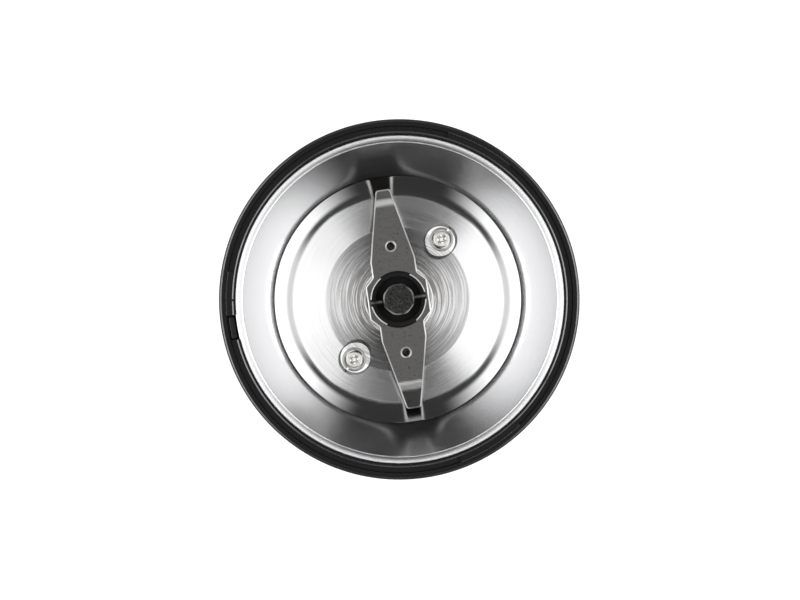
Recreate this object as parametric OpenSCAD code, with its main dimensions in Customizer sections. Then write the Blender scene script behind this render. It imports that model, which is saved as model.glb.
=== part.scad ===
// Electric coffee grinder: a steel cup and a spinning blade over a motor, in a moulded body.
// Millimetres. The origin is the centre of the footprint on the table, +Z is up,
// and -Y is the front, with the start button and the slot for the lid's tongue.

/* [Body] */
// Outer radius of the body at the lid shelf
body_r = 45.5; // [44.5:0.25:48]
// How much wider the body is at its foot
body_flare = 0.5; // [0:0.25:3]
// Height from the table to the top of the collar
body_h = 120; // [117:0.5:135]
// Wall of the body shell
shell_wall = 2.4; // [2:0.1:2.8]
// Thickness of the lid shelf
shelf_t = 2.4; // [2:0.1:3]
// Rounding of the outer edge of the lid shelf
shelf_edge_r = 1.2; // [0.4:0.1:1.3]

/* [Lid seat] */
// Height of the collar above the lid shelf
collar_h = 7; // [6:0.25:9]
// Setback of the collar from the side of the body
collar_setback = 3.6; // [3.5:0.1:4.2]
// Wall of the collar under the cup's lip
collar_wall = 1.8; // [1.5:0.1:1.9]
// Width of the collar's rim outside the cup's lip
collar_rim_w = 0.75; // [0.6:0.05:0.9]
// Rounding of the collar's top edge
collar_edge_r = 0.3; // [0.1:0.05:0.5]
// Width of the groove that the lid's skirt sits in
groove_w = 1.75; // [1.7:0.05:1.85]
// Depth of that groove
groove_d = 0.7; // [0.4:0.1:1]
// Number of bayonet lugs
lug_count = 3; // [2:1:4]
// Reach of a lug out of the collar
lug_reach = 1.6; // [1:0.1:1.65]
// Thickness of a lug
lug_t = 1.8; // [1.2:0.1:2.2]
// Depth of a lug's top under the top of the collar
lug_drop = 1.7; // [1:0.1:2]
// Angle that a lug spans
lug_span = 23; // [15:1:30]
// Angle that the slot for the lid's tongue spans
slot_span = 8.7; // [8:0.1:10]
// Width of the index notch in the collar
notch_w = 0.5; // [0.3:0.1:1]
// Depth of the index notch
notch_d = 0.6; // [0.3:0.1:1]

/* [Cup] */
// Sheet thickness of the cup
cup_t = 0.8; // [0.6:0.1:1]
// Depth of the cup from its lip to the edge of its floor
cup_depth = 32.3; // [30:0.1:34]
// Depth of the lip under the top of the collar
lip_drop = 0.2; // [0.1:0.05:0.4]
// Width of the flat lip
lip_w = 1; // [0.9:0.1:1.4]
// Inside radius of the bend under the lip
lip_bend_r = 0.2; // [0.1:0.05:0.4]
// How far the edge of the cup's floor lies inside the lip's edge
floor_inset = 13.9; // [13:0.1:14.4]
// Slope of the floor's outer ring, up to the outside, in degrees
floor_slope = 6; // [4:0.5:7]
// Radius of the shallow dish round that ring
dish_r = 17.8; // [15:0.2:20]
// Slope of the dish at its outer end, in degrees
dish_rise = 22; // [18:1:26]
// Inside radius of the corner between dish and wall
corner_r = 0.8; // [0.6:0.1:1.5]
// Radius of the floor's lowest line, where its centre starts to rise
dome_r = 18.8; // [16:0.2:20]
// Slope of that centre, in degrees
dome_slope = 9; // [6:0.5:11]
// Radius of the flat round the shaft seal
seal_flat_r = 9.5; // [8.6:0.1:11]
// Distance of the cup screws from the axis
screw_r = 19.4; // [18.5:0.1:20.5]
// Radius of a screw's sunk seat
screw_seat_r = 3.4; // [3.3:0.1:3.8]
// Depth of a screw's seat under the floor's lowest line
seat_drop = 0.3; // [0.2:0.05:0.4]
// Angle of the first cup screw
screw_angle = 144; // [135:1:150]
// Radius of the shaft seal's neck in the cup
seal_neck_r = 5.5; // [5:0.1:6]
// Radius of the shaft seal's flanges
seal_flange_r = 8.2; // [7.4:0.1:8.5]
// Thickness of the shaft seal's flanges
seal_flange_t = 1; // [0.7:0.1:1.2]

/* [Cup screws] */
// Radius of the thread of a cup screw
cup_thread_r = 1.5; // [1.25:0.05:1.6]
// Length of a cup screw under its head
cup_screw_l = 8; // [7:0.5:9]
// Radius of a cup screw's head
cup_head_r = 2.6; // [2.2:0.1:2.9]
// Height of a cup screw's head
cup_head_h = 1.9; // [1.6:0.1:2.4]
// Chamfer of a cup screw's head
cup_head_edge = 0.75; // [0.3:0.05:0.9]
// Length of the arms of the cross recess
cross_l = 2.6; // [1.6:0.1:3]
// Width of the arms of the cross recess
cross_w = 0.6; // [0.4:0.05:0.8]
// Depth of the cross recess
cross_d = 1.1; // [0.6:0.1:1.3]
// Radius of a spring washer
washer_r = 3.15; // [3:0.05:3.3]
// Thickness of a spring washer
washer_t = 0.7; // [0.5:0.1:1]
// Width of the split in a spring washer
washer_split_w = 0.5; // [0.3:0.1:0.8]
// Thickness of the gaskets under the screw seats
gasket_t = 1; // [0.6:0.1:1.4]

/* [Blade] */
// Thickness of the blade
blade_t = 1.5; // [1:0.1:2]
// Height of the blade's underside over the edge of the cup's floor
blade_lift = 8; // [7.5:0.1:10.5]
// Reach of a wing past the edge of the cup's floor
tip_past = 1.2; // [0:0.1:1.6]
// Width of a wing at its tip
wing_tip_w = 3.7; // [3:0.1:5]
// Width of a wing at its root
wing_root_w = 11.6; // [10:0.1:12]
// Distance from the axis where a wing starts to taper
taper_start = 10.4; // [9:0.2:12]
// Distance from the axis where a wing meets the centre plate
plate_neck = 6.4; // [6:0.1:7]
// Width of the centre plate
plate_w = 15.9; // [15.1:0.1:16.4]
// Length of the centre plate's straight sides
plate_l = 8.5; // [8:0.1:10]
// Length of the upper tip, seen from above
rise_l = 4.8; // [3.6:0.1:6]
// Angle of the upper tip
rise_angle = 42; // [20:1:50]
// Length of the lower tip, seen from above
fall_l = 7.4; // [5:0.1:8]
// Angle of the lower tip
fall_angle = 23; // [10:1:35]
// Bending radius of the tips, to the middle of the sheet
tip_bend_r = 3; // [2:0.1:4]
// Radius of the small hole in each wing
wing_hole_r = 1.05; // [0.8:0.05:1.4]
// Distance of those holes from the axis
wing_hole_at = 13.8; // [12:0.2:16]
// Chamfer of those holes
wing_hole_edge = 0.4; // [0.2:0.05:0.6]
// Angle at which the blade is parked
blade_angle = 188.3; // [0:0.1:360]

/* [Hub] */
// Radius of the hub inside the blade
hub_r = 6.85; // [6.6:0.05:6.9]
// Radius of the hub's flange under the blade
hub_flange_r = 7.4; // [7.2:0.05:7.6]
// Thickness of that flange
hub_flange_t = 3; // [2.6:0.1:3.4]
// Radius of the hub's foot
hub_foot_r = 5; // [4.4:0.1:6]
// Wall of the ring round the hub's recess
hub_ring_w = 0.9; // [0.6:0.05:1.1]
// Depth of the hub's recess under the blade's top
hub_recess_d = 3.4; // [2:0.1:3.6]
// Radius of the hub's post
post_r = 4.1; // [3.8:0.05:4.4]
// Height of the post above the blade's top
post_h = 5; // [4.4:0.1:7]
// Chamfer of the post's top edge
post_edge = 0.5; // [0.2:0.1:0.9]
// Depth of the post's eight flats in its round
post_flat = 0.18; // [0.1:0.02:0.3]
// Width of a drive rib
rib_w = 1.1; // [0.8:0.1:1.5]
// Reach of a drive rib from the axis
rib_reach = 7.15; // [7:0.05:7.2]
// Angle that a retaining lip spans
lip_span = 64; // [30:2:80]
// Reach of a retaining lip from the axis
lip_reach = 7.35; // [7.2:0.05:7.6]
// Thickness of a retaining lip
lip_t = 0.45; // [0.3:0.05:0.7]

/* [Motor] */
// Radius of the shaft in its bearings
shaft_r = 2.5; // [2.2:0.05:2.8]
// Radius of the shaft inside the armature
shaft_core_r = 3.5; // [3.2:0.1:4]
// Length of shaft inside the hub above the blade
shaft_top = 3.4; // [2:0.1:3.6]
// Width of the stator, side to side
stator_w = 58; // [56:0.5:60]
// Height of the stator's stack
stator_h = 22; // [20:0.5:24]
// Radius of the stator's corners
stator_corner_r = 6; // [4:0.5:7]
// Radius of the stator's bore
stator_bore_r = 16.5; // [16:0.1:17]
// Air gap round the armature
air_gap = 0.5; // [0.35:0.05:0.8]
// Half width of a pole under its coil
pole_half_w = 12.2; // [12:0.1:13]
// Width of a coil's side
coil_w = 7.4; // [6:0.1:7.6]
// Thickness of the stator behind the coils
yoke_t = 2.4; // [2:0.1:3]
// Distance of a coil from the axis
coil_at = 13.6; // [13.3:0.1:13.8]
// Radius of a coil's corners
coil_corner_r = 5; // [3:0.5:6]
// Height of a coil's end over the stack
coil_end_h = 7.4; // [6:0.1:7.8]
// Room between the stack and the top bracket
coil_room = 8.5; // [8.4:0.1:10]
// Number of armature slots
slot_count = 12; // [8:1:14]
// Radius of an armature slot's round bottom
slot_r = 2; // [1.4:0.1:2.2]
// Mouth width of an armature slot
slot_mouth = 1.6; // [1:0.1:2]
// Distance of the slots' round bottoms from the axis
slot_at = 10.4; // [10:0.1:11]
// Height of the winding's ends over the stack
winding_end_h = 5; // [3:0.1:5.2]
// Radius of the winding's ends
winding_r = 12.4; // [12.2:0.1:12.8]
// Room for commutator and brushes between stack and bottom bracket
brush_room = 21.5; // [21:0.25:24]
// Radius of the commutator
commutator_r = 10; // [9:0.1:10.5]
// Height of the commutator
commutator_h = 11; // [9.5:0.1:12]
// Height of a copper bar's face over the commutator's core
bar_t = 2.6; // [1.6:0.1:3]
// Number of copper bars
bar_count = 12; // [8:1:24]
// Gap between copper bars
bar_gap = 0.6; // [0.4:0.1:0.8]

/* [Motor frame] */
// Thickness of both brackets' plates
bracket_t = 3; // [2.5:0.1:4]
// Overhang of the brackets over the stator's edges
bracket_lap = 0.5; // [0:0.1:0.7]
// Height of the bosses under the cup
boss_h = 5; // [3:0.1:7]
// Radius of those bosses
boss_r = 4.2; // [3.5:0.1:5]
// Radius of the brackets' bearing bosses
bearing_boss_r = 9; // [8:0.1:10]
// Outer radius of the bearings
bearing_r = 6; // [5:0.1:6.5]
// Length of the top bearing
top_bearing_h = 7.5; // [6:0.1:8]
// Depth of the bottom bearing boss under its plate
bottom_boss_h = 7; // [6:0.1:8]
// Floor of that boss
bottom_boss_floor = 1; // [0.8:0.1:1.5]
// Thickness of the thrust pad under the shaft
thrust_pad_t = 0.5; // [0.3:0.1:0.8]
// Thickness of a thrust washer
thrust_t = 0.6; // [0.4:0.1:0.8]
// Radius of a thrust washer
thrust_r = 5.2; // [4.8:0.1:5.6]
// Distance of the motor bolts from the stator's sides
bolt_inset = 4; // [3.6:0.1:4.4]
// Radius of a motor bolt
bolt_r = 1.95; // [1.5:0.05:2]
// Radius of a motor bolt's head
bolt_head_r = 3.4; // [3:0.1:3.6]
// Height of a motor bolt's head
bolt_head_h = 2.6; // [2:0.1:3]
// Radius of the bracket legs round the motor bolts
leg_r = 3.4; // [3.2:0.1:3.6]

/* [Brushes] */
// Width of a brush
brush_w = 6; // [5:0.1:7]
// Height of a brush
brush_h = 5; // [4:0.1:5.4]
// Length of a brush
brush_l = 9; // [8:0.1:10]
// Wall of a brush holder
holder_wall = 1; // [0.8:0.1:1.2]
// Distance of a brush holder's mouth from the axis
holder_from = 12; // [11.5:0.1:13]
// Distance of a brush holder's end from the axis
holder_to = 26; // [25:0.1:27]
// Mean radius of a brush spring
brush_spring_r = 1.7; // [1.3:0.1:1.8]
// Wire of all springs
spring_wire = 0.5; // [0.4:0.05:0.6]
// Turns of a brush spring
brush_spring_turns = 4; // [3:1:5]

/* [Start button] */
// Depth of the button's middle under the top of the collar
button_drop = 46; // [44:0.5:50]
// Width of the button
button_w = 14; // [12:0.25:15]
// Height of the button
button_h = 22; // [18:0.5:24]
// Depth of the button's face under the body's side
button_recess = 0.25; // [0.1:0.05:0.6]
// Depth of the finger dimple
dimple_d = 0.8; // [0.4:0.1:1]
// Radius of the finger dimple's curve
dimple_r = 30; // [25:1:60]
// Lip of the button's flange inside the body
button_lip = 1.6; // [1.2:0.1:2]
// Thickness of that flange
button_flange_t = 1.5; // [1.2:0.1:1.8]
// Radius of the button's stem
stem_r = 2.8; // [2.4:0.1:3]
// Length of the button's stem
stem_l = 2.4; // [2:0.1:2.6]
// Travel of the button
button_travel = 3; // [2:0.1:3.2]
// Length of the button's spring
button_spring_l = 5.4; // [5.2:0.1:5.8]
// Mean radius of the button's spring
button_spring_r = 3.9; // [3.5:0.1:4.4]
// Turns of the button's spring
button_spring_turns = 4; // [3:1:5]

/* [Switches] */
// Width of the start switch
switch_w = 13; // [11:0.25:14]
// Height of the start switch
switch_h = 14; // [12:0.25:15]
// Depth of the start switch
switch_d = 7.5; // [7.2:0.1:8]
// Radius of the start switch's plunger
plunger_r = 2.5; // [2:0.1:2.8]
// Length of a switch's tabs
tab_l = 4; // [3:0.1:5]
// Width of a switch's tabs
tab_w = 2.8; // [2:0.1:3.2]
// Thickness of a switch's tabs
tab_t = 0.8; // [0.5:0.1:1]
// Distance of a switch's tabs from its middle
tab_at = 3.2; // [2.5:0.1:4]
// Wall of a switch behind its plunger
switch_wall = 0.7; // [0.5:0.05:0.9]
// Thickness of the switch holder's plate
holder_t = 1.6; // [1.2:0.1:2]
// Thickness of the switch holder's clips
clip_t = 1.5; // [1:0.1:1.8]
// Radius of the holder's posts in the body
holder_post_r = 2.6; // [2.2:0.1:2.8]
// Radius of the holder screws
holder_screw_r = 1.1; // [0.9:0.05:1.25]
// Length of the holder screws under their heads
holder_screw_l = 6; // [4.5:0.1:6.5]
// Radius of the holder screws' heads
holder_head_r = 2.2; // [1.8:0.1:2.6]
// Height of the holder screws' heads
holder_head_h = 1.4; // [1:0.1:2]

/* [Lid interlock] */
// Radial thickness of the key that the lid presses
key_t = 1.5; // [1.2:0.05:1.6]
// Height of the key over the groove
key_rise = 2.9; // [2:0.1:3.2]
// Thickness of the key's foot
key_foot_t = 2.4; // [2:0.1:3]
// How far the key's foot is wider than the slot, each side
key_foot_lap = 1.2; // [0.8:0.1:1.4]
// Travel of the key
key_travel = 2.8; // [2:0.1:2.9]
// Radius of the key's pin and of the switch plunger under it
pin_r = 1.2; // [0.9:0.05:1.25]
// Length of the key's pin
pin_l = 2.2; // [1.8:0.1:2.4]
// Length of the key's spring
key_spring_l = 5.4; // [5.2:0.1:5.8]
// Mean radius of the key's spring
key_spring_r = 1.75; // [1.7:0.05:1.85]
// Turns of the key's spring
key_spring_turns = 4; // [3:1:5]
// Width of the interlock switch
lock_switch_w = 13; // [11:0.25:13.5]
// Height of the interlock switch
lock_switch_h = 8; // [7.5:0.1:9]
// Depth of the interlock switch
lock_switch_d = 5; // [4.6:0.1:5.4]
// Thickness of the ribs and ledge that hold the interlock switch
pocket_rib_t = 1.4; // [1:0.1:2]

/* [Base] */
// Height of the base over the table
foot_h = 1.5; // [1:0.1:2.5]
// Thickness of the base plate
base_t = 2.5; // [2:0.1:3]
// Rounding of the base plate's lower edge
base_edge_r = 1.4; // [0.5:0.1:1.8]
// Height of the base's spigot inside the body
spigot_h = 2.5; // [2:0.1:2.8]
// Wall of that spigot
spigot_wall = 1.8; // [1.2:0.1:2.2]
// Radius of a rubber foot
rubber_r = 5; // [4:0.1:5.4]
// Chamfer of a rubber foot's lower edge
rubber_edge = 0.6; // [0.2:0.1:0.9]
// Distance of the middle of a rubber foot from the base's edge
rubber_inset = 10; // [9.4:0.1:10.4]
// Depth of a rubber foot's recess
rubber_recess = 1; // [0.6:0.1:1.4]
// Number of base screws
base_screw_count = 3; // [2:1:3]
// Distance of the base screws from the inside of the body
base_screw_inset = 6; // [5.6:0.1:6.6]
// Radius of a base screw's thread
base_screw_r = 1.45; // [1.2:0.05:1.6]
// Radius of a base screw's head
base_head_r = 2.8; // [2.4:0.1:3]
// Height of a base screw's head
base_head_h = 2; // [1.6:0.1:2.2]
// Length of a base screw under its head
base_screw_l = 12; // [10:0.5:13]
// Radius of the pillars that the base screws go into
pillar_r = 3.8; // [3.2:0.1:4]
// Height of those pillars' tops over the table
pillar_top = 18; // [16.6:0.1:18.5]
// Height of the base's screw bosses over its plate
base_boss_h = 3; // [2.9:0.1:3.6]
// Number of vents in the base
vent_count = 24; // [12:1:26]
// Width of a vent
vent_w = 2; // [1:0.1:2.4]
// Length of a vent
vent_l = 11; // [6:0.5:12]
// Wall of the rubber cup under the motor
mount_wall = 4; // [3:0.1:4.5]
// Floor of the rubber cup under the motor
mount_floor = 4; // [2:0.1:6]
// Height of that cup's wall over its floor
mount_rim = 5; // [3:0.1:6]
// Wall of the ring that holds the rubber cup
mount_ring_wall = 2; // [1.5:0.1:2.5]

/* [Wiring] */
// Height of the cord inlet's middle over the base plate
inlet_rise = 11; // [9:0.25:16]
// Radius of the cord inlet's bore
inlet_bore_r = 3.8; // [3:0.05:4]
// Radius of the cord inlet's neck
inlet_neck_r = 5; // [4.6:0.05:5.4]
// Radius of the cord inlet's flange
inlet_flange_r = 6.6; // [6:0.1:7.2]
// Thickness of the cord inlet's flange
inlet_flange_t = 1.2; // [0.8:0.1:1.2]
// Depth of the cord inlet's flange under the body's side
inlet_sink = 0.3; // [0.2:0.05:0.6]
// Thickness of the wall round the cord inlet
inlet_pad_t = 3.6; // [2.4:0.1:4]
// Thickness of the cord inlet's nut
inlet_nut_t = 2.5; // [2:0.1:3]
// Width of the terminal block
terminal_w = 18; // [14:0.5:20]
// Depth of the terminal block
terminal_d = 9; // [7:0.25:9.5]
// Height of the terminal block
terminal_h = 9; // [7:0.25:10]
// Room between the terminal block and the cord inlet
terminal_room = 4.7; // [4:0.1:6]
// Distance between the terminals
terminal_pitch = 9; // [7:0.25:10]
// Width of the suppressor
suppressor_w = 11; // [9:0.25:12]
// Depth of the suppressor
suppressor_d = 6; // [4:0.25:7]
// Height of the suppressor
suppressor_h = 10; // [8:0.25:12]
// Radius of the wires
wire_r = 1; // [0.7:0.05:1.1]

/* [Clearances] */
// Gap between fitted pieces that don't move
fit_gap = 0.05; // [0.02:0.01:0.08]
// Radial gap of the shaft and the plungers
run_gap = 0.08; // [0.03:0.01:0.1]
// Gap round what slides in the body
slide_gap = 0.35; // [0.25:0.05:0.4]
// Gap between a brush and the commutator
brush_gap = 0.2; // [0.1:0.05:0.3]
// End play of the shaft between its thrust washers and the bearings
thrust_gap = 0.15; // [0.1:0.01:0.2]
// Gap between the coils and the stator
coil_clear = 0.3; // [0.2:0.05:0.4]
// Gap between the start switch and the motor's brackets
switch_clear = 1.1; // [0.8:0.1:1.4]
// Gap between the hub and the shaft seal
hub_clear = 0.9; // [0.6:0.05:1]
// Gap between the cup and the foot of the interlock's key
key_clear = 0.8; // [0.5:0.05:0.9]

/* [Hidden] */
$fn = 72;
front = 270;  // angle of the front, from +X
over = 1;     // how far a cut runs past the face it opens
sink = 0.3;   // how far a moulded feature is rooted in its wall
step = 0.1;   // small step between two moulded walls that meet
slot_mid = 279.65;    // angle of the slot's middle
slot_past = 0.2;      // angle by which the slot runs past its lug
notch_angle = 270.3;  // angle of the index notch

// Levels of the body, from the table up
seat_z = foot_h + base_t;
rim_z = body_h;
shelf_z = rim_z - collar_h;
shelf_under_z = shelf_z - shelf_t;
groove_z = shelf_z - groove_d;

// Radii of the lid seat
collar_r = body_r - collar_setback;
collar_in_r = collar_r - collar_wall;
lip_seat_r = collar_r - collar_rim_w;
lip_r = lip_seat_r - fit_gap;
groove_r = collar_r + groove_w;
lug_r = collar_r + lug_reach;
slot_start = slot_mid - slot_span / 2;
slot_in_r = lip_seat_r - step;
slot_z = groove_z - step;
lug_start = slot_mid + slot_span / 2 - slot_past - lug_span;

// The cup's section: the floor's end, the centres of the dish, of the corner and of the lip's bend,
// and the straight wall as the line that touches both round corners
lip_z = rim_z - lip_drop;
lip_under_z = lip_z - cup_t;
floor_z = lip_z - cup_depth;
floor_r = lip_r - floor_inset;
dish_c = [floor_r - dish_r * sin(floor_slope), floor_z + dish_r * cos(floor_slope)];
corner_c = dish_c + (dish_r - corner_r) * [sin(dish_rise), -cos(dish_rise)];
lip_top_r = lip_bend_r + cup_t;
lip_c = [lip_r - lip_w, lip_z - lip_top_r];
corner_v = lip_c - corner_c;
wall_a = atan2(corner_v[1], corner_v[0]) - acos((corner_r + lip_top_r) / norm(corner_v));
dome_z = floor_z - (floor_r - dome_r) * tan(floor_slope);
seal_z = dome_z + (dome_r - seal_flat_r) * tan(dome_slope);
cup_seat_z = dome_z - seat_drop;
cup_screw_angles = [screw_angle, screw_angle + 180];

// Seal, hub and blade levels
blade_z = floor_z + blade_lift;
wing_reach = floor_r + tip_past;
rise_start = wing_reach - rise_l;
fall_start = wing_reach - fall_l;
blade_top_z = blade_z + blade_t;
hub_foot_z = seal_z + seal_flange_t + hub_clear;
recess_z = blade_top_z - hub_recess_d;
post_top_z = blade_top_z + post_h;
blade_bore_r = hub_r + fit_gap;
key_slot_w = rib_w + 2 * slide_gap;
post_corner_r = (post_r - post_flat) / cos(22.5);
shaft_top_z = blade_top_z + shaft_top;

// Start button and switch, from the body's side inwards
button_z = rim_z - button_drop;
button_face_r = outer_r(button_z + button_h / 2) - button_recess;
button_flange_w = button_w + 2 * button_lip;
button_flange_h = button_h + 2 * button_lip;
flange_y = -chord(inner_r(button_z + button_flange_h / 2) - slide_gap, button_flange_w / 2);
flange_back_y = flange_y + button_flange_t;
holder_y = flange_back_y + button_spring_l;
switch_y = holder_y + holder_t;
switch_back_y = switch_y + switch_d;
plunger_tip_y = flange_back_y + stem_l + fit_gap;
plunger_end_y = switch_back_y - switch_wall - button_travel - slide_gap;
post_clear = 1.3;
holder_post_x = button_flange_w / 2 + post_clear + holder_post_r;
holder_ear = 4;
holder_w = 2 * (holder_post_x + holder_ear);
holder_lap = 1.5;
holder_h = switch_h + 2 * holder_lap;
clip_h = switch_h - 3 * holder_lap;
clip_short = 1;
clip_l = switch_d - clip_short;
start_tab_y = switch_y + switch_d / 2;
start_tab_z = button_z - switch_h / 2 - tab_l;

// Motor levels, hung from the cup's screw seats
boss_top_z = cup_seat_z - cup_t - gasket_t;
top_plate_z = boss_top_z - boss_h - bracket_t;
stack_top_z = top_plate_z - coil_room;
stack_z = stack_top_z - stator_h;
bottom_plate_top_z = stack_z - brush_room;
bottom_plate_z = bottom_plate_top_z - bracket_t;
motor_z = bottom_plate_z - bottom_boss_h;
top_bearing_z = top_plate_z + bracket_t / 2 - top_bearing_h / 2;
bottom_bearing_z = motor_z + bottom_boss_floor + thrust_pad_t;
shaft_z = bottom_bearing_z + fit_gap;
shoulder_top_z = top_bearing_z - thrust_gap - thrust_t;
shoulder_z = bottom_plate_top_z + thrust_gap + thrust_t;
commutator_lift = 0.8;
commutator_z = shoulder_z + commutator_lift;
armature_r = stator_bore_r - air_gap;
bracket_w = stator_w + 2 * bracket_lap;
bracket_d = 2 * (-switch_back_y - switch_clear);
stator_d = bracket_d - 2 * bracket_lap;
bolt_x = stator_w / 2 - bolt_inset;
bolt_y = stator_d / 2 - bolt_inset;
bolt_places = [for (x = [-1, 1], y = [-1, 1]) [x * bolt_x, y * bolt_y]];
coil_z = stack_z - coil_end_h;
coil_top_z = stack_top_z + coil_end_h;
coil_half_w = pole_half_w + slide_gap + coil_w;
coil_d = stator_d / 2 - yoke_t - coil_at;

// Brushes
brush_z = commutator_z + commutator_h / 2;
brush_from = commutator_r + brush_gap;
brush_to = brush_from + brush_l;
holder_half_h = brush_h / 2 + fit_gap + holder_wall;
holder_half_w = brush_w / 2 + fit_gap + holder_wall;
brush_spring_l = holder_to - holder_wall - brush_to;
pedestal_inset = 2;
pedestal_from = holder_from + pedestal_inset;
pedestal_top_z = brush_z - holder_half_h;

// Lid interlock, from the slot down
slot_w = 2 * lip_seat_r * sin(slot_span / 2);
passage_w = slot_w - 2 * step;
passage_r = lip_seat_r + step;
key_w = passage_w - 2 * slide_gap;
key_in_r = passage_r + slide_gap;
key_out_r = key_in_r + key_t;
key_foot_w = slot_w + 2 * key_foot_lap;
key_foot_top_z = shelf_under_z - slide_gap;
key_foot_z = key_foot_top_z - key_foot_t;
key_top_z = groove_z + key_rise;
lock_switch_top_z = key_foot_z - key_spring_l;
lock_switch_z = lock_switch_top_z - lock_switch_h;
lock_switch_out_r = chord(inner_r(lock_switch_top_z) - slide_gap, lock_switch_w / 2);
lock_switch_in_r = lock_switch_out_r - lock_switch_d;
pin_inset = 1.9;
lock_pin_r = lock_switch_out_r - pin_inset;
pin_z = key_foot_z - pin_l;
lock_plunger_top_z = pin_z - fit_gap;
lock_bore_z = lock_switch_z + switch_wall;
lock_plunger_z = lock_bore_z + key_travel + slide_gap;
tab_inset = 0.6;
lock_tab_r = lock_switch_in_r + tab_inset;
lock_tab_z = lock_switch_z - tab_l;
lock_turn = slot_mid - front;
ledge_d = 2.8;
ledge_r = lock_switch_out_r - ledge_d;
pocket_rib_d = 3.5;
pocket_rib_r = lock_switch_out_r - pocket_rib_d;

// Base, mount and inlet
base_r = outer_r(seat_z);
spigot_r = inner_r(seat_z) - slide_gap;
rubber_at = base_r - rubber_inset;
base_screw_at = inner_r(seat_z) - base_screw_inset;
base_screw_angles = [for (i = [0:base_screw_count - 1]) front + i * 360 / base_screw_count];
head_sink = 0.3;
base_head_z = foot_h + head_sink + base_head_h;
boss_lap = 0.6;
base_boss_r = pillar_r + boss_lap;
pillar_z = seat_z + base_boss_h;
mount_r = bearing_boss_r + fit_gap + mount_wall;
mount_z = motor_z - mount_floor;
mount_ring_r = mount_r + fit_gap + mount_ring_wall;
vent_margin = 3.4;
vent_from = mount_ring_r + vent_margin;
inlet_z = seat_z + inlet_rise;
inlet_face_y = outer_r(inlet_z + inlet_flange_r) - inlet_sink;
inlet_seat_y = inlet_face_y - inlet_flange_t;
inlet_pad_y = inlet_seat_y - inlet_pad_t;
inlet_stub = 0.5;
inlet_end_y = inlet_pad_y - inlet_nut_t - inlet_stub;
inlet_nut_lap = 1;
inlet_nut_r = inlet_flange_r + inlet_nut_lap;
inlet_pad_lap = 1.4;
inlet_pad_r = inlet_flange_r + inlet_pad_lap;
terminal_at = inlet_end_y - terminal_room - terminal_d / 2;
terminal_top_z = seat_z + terminal_h;
suppressor_gap = 0.4;
suppressor_x = terminal_w / 2 + suppressor_gap;

// Outer radius of the body at a level, and its inner radius there
function outer_r(z) = body_r + body_flare * (shelf_z - z) / (shelf_z - seat_z);
function inner_r(z) = outer_r(z) - shell_wall;
// Outer radius of the cup's straight wall at a level
function cup_outer_r(z) =
    let (foot = corner_c + (corner_r + cup_t) * [cos(wall_a), sin(wall_a)])
        foot[0] - (z - foot[1]) * tan(wall_a);
// Distance of a chord from the centre, a half length along it
function chord(r, half) = sqrt(r * r - half * half);
// Points of an arc
function arc(c, r, a0, a1, n = 8) =
    [for (i = [0:n]) c + r * [cos(a0 + (a1 - a0) * i / n), sin(a0 + (a1 - a0) * i / n)]];
// All points of a line but the first, for one that goes on from another
function tail(points) = [for (i = [1:len(points) - 1]) points[i]];
// Outline of a rectangle with round corners
function round_rect(w, h, r) = [
    each arc([w / 2 - r, h / 2 - r], r, 0, 90),
    each arc([r - w / 2, h / 2 - r], r, 90, 180),
    each arc([r - w / 2, r - h / 2], r, 180, 270),
    each arc([w / 2 - r, r - h / 2], r, 270, 360)
];
// Smooth curve through a route's points
function spline(p, n = 4) = [
    for (i = [0:len(p) - 2], k = [0:n - 1])
        let (t = k / n, a = p[max(i - 1, 0)], b = p[i], c = p[i + 1], d = p[min(i + 2, len(p) - 1)])
            b + t / 2 * (c - a + t * (2 * a - 5 * b + 4 * c - d + t * (3 * b - a - 3 * c + d))),
    p[len(p) - 1]
];
// Points of a helix up the Z axis
function helix(r, l, turns) =
    [for (i = [0:8 * turns]) [r * cos(45 * i), r * sin(45 * i), l * i / (8 * turns)]];
function unit(v) = v / norm(v);
function heading(p, i) = unit(p[min(i + 1, len(p) - 1)] - p[max(i - 1, 0)]);
// A place in the interlock's own frame, sideways and at a radius, as a point of the body
function lock_place(side, r, z) =
    [side * cos(lock_turn) + r * sin(lock_turn), side * sin(lock_turn) - r * cos(lock_turn), z];

// A round tube along points; no stretch of it runs along the direction called across
module tube(p, r, sides, across) {
    last = len(p) - 1;
    points = [
        for (i = [0:last])
            let (t = heading(p, i), u = unit(cross(across, t)), v = cross(t, u))
                for (k = [0:sides - 1]) p[i] + r * (cos(360 * k / sides) * u + sin(360 * k / sides) * v)
    ];
    walls = [
        for (i = [0:last - 1], k = [0:sides - 1])
            let (a = i * sides + k, b = i * sides + (k + 1) % sides)
                each [[a, a + sides, b + sides], [a, b + sides, b]]
    ];
    first_cap = [for (k = [1:sides - 2]) [0, k, k + 1]];
    last_cap = [for (k = [1:sides - 2]) [last * sides, last * sides + k + 1, last * sides + k]];
    polyhedron(points = points, faces = concat(walls, first_cap, last_cap));
}

// A coil spring that stands on the XY plane and fills a height
module spring(r, l, turns) {
    rise = l - spring_wire - 2 * fit_gap;
    echo(spring_gap = rise / turns - spring_wire);
    translate([0, 0, spring_wire / 2 + fit_gap])
        tube(helix(r, rise, turns), spring_wire / 2, 6, [0, 0, 1]);
}

// A round bar or bore along +Y
module bar_y(x, y, z, r, l) {
    translate([x, y, z]) rotate([-90, 0, 0]) cylinder(r = r, h = l);
}

// A flat ring
module ring(r_in, r_out, z, h) {
    translate([0, 0, z]) difference() {
        cylinder(r = r_out, h = h);
        translate([0, 0, -over]) cylinder(r = r_in, h = h + 2 * over);
    }
}

// What is said once, and again half a turn round the axis
module both_sides() {
    for (turn = [0, 180]) rotate([0, 0, turn]) children();
}

// The interlock's own frame: its outward side is turned to -Y
module at_lock() {
    rotate([0, 0, lock_turn]) children();
}

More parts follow.
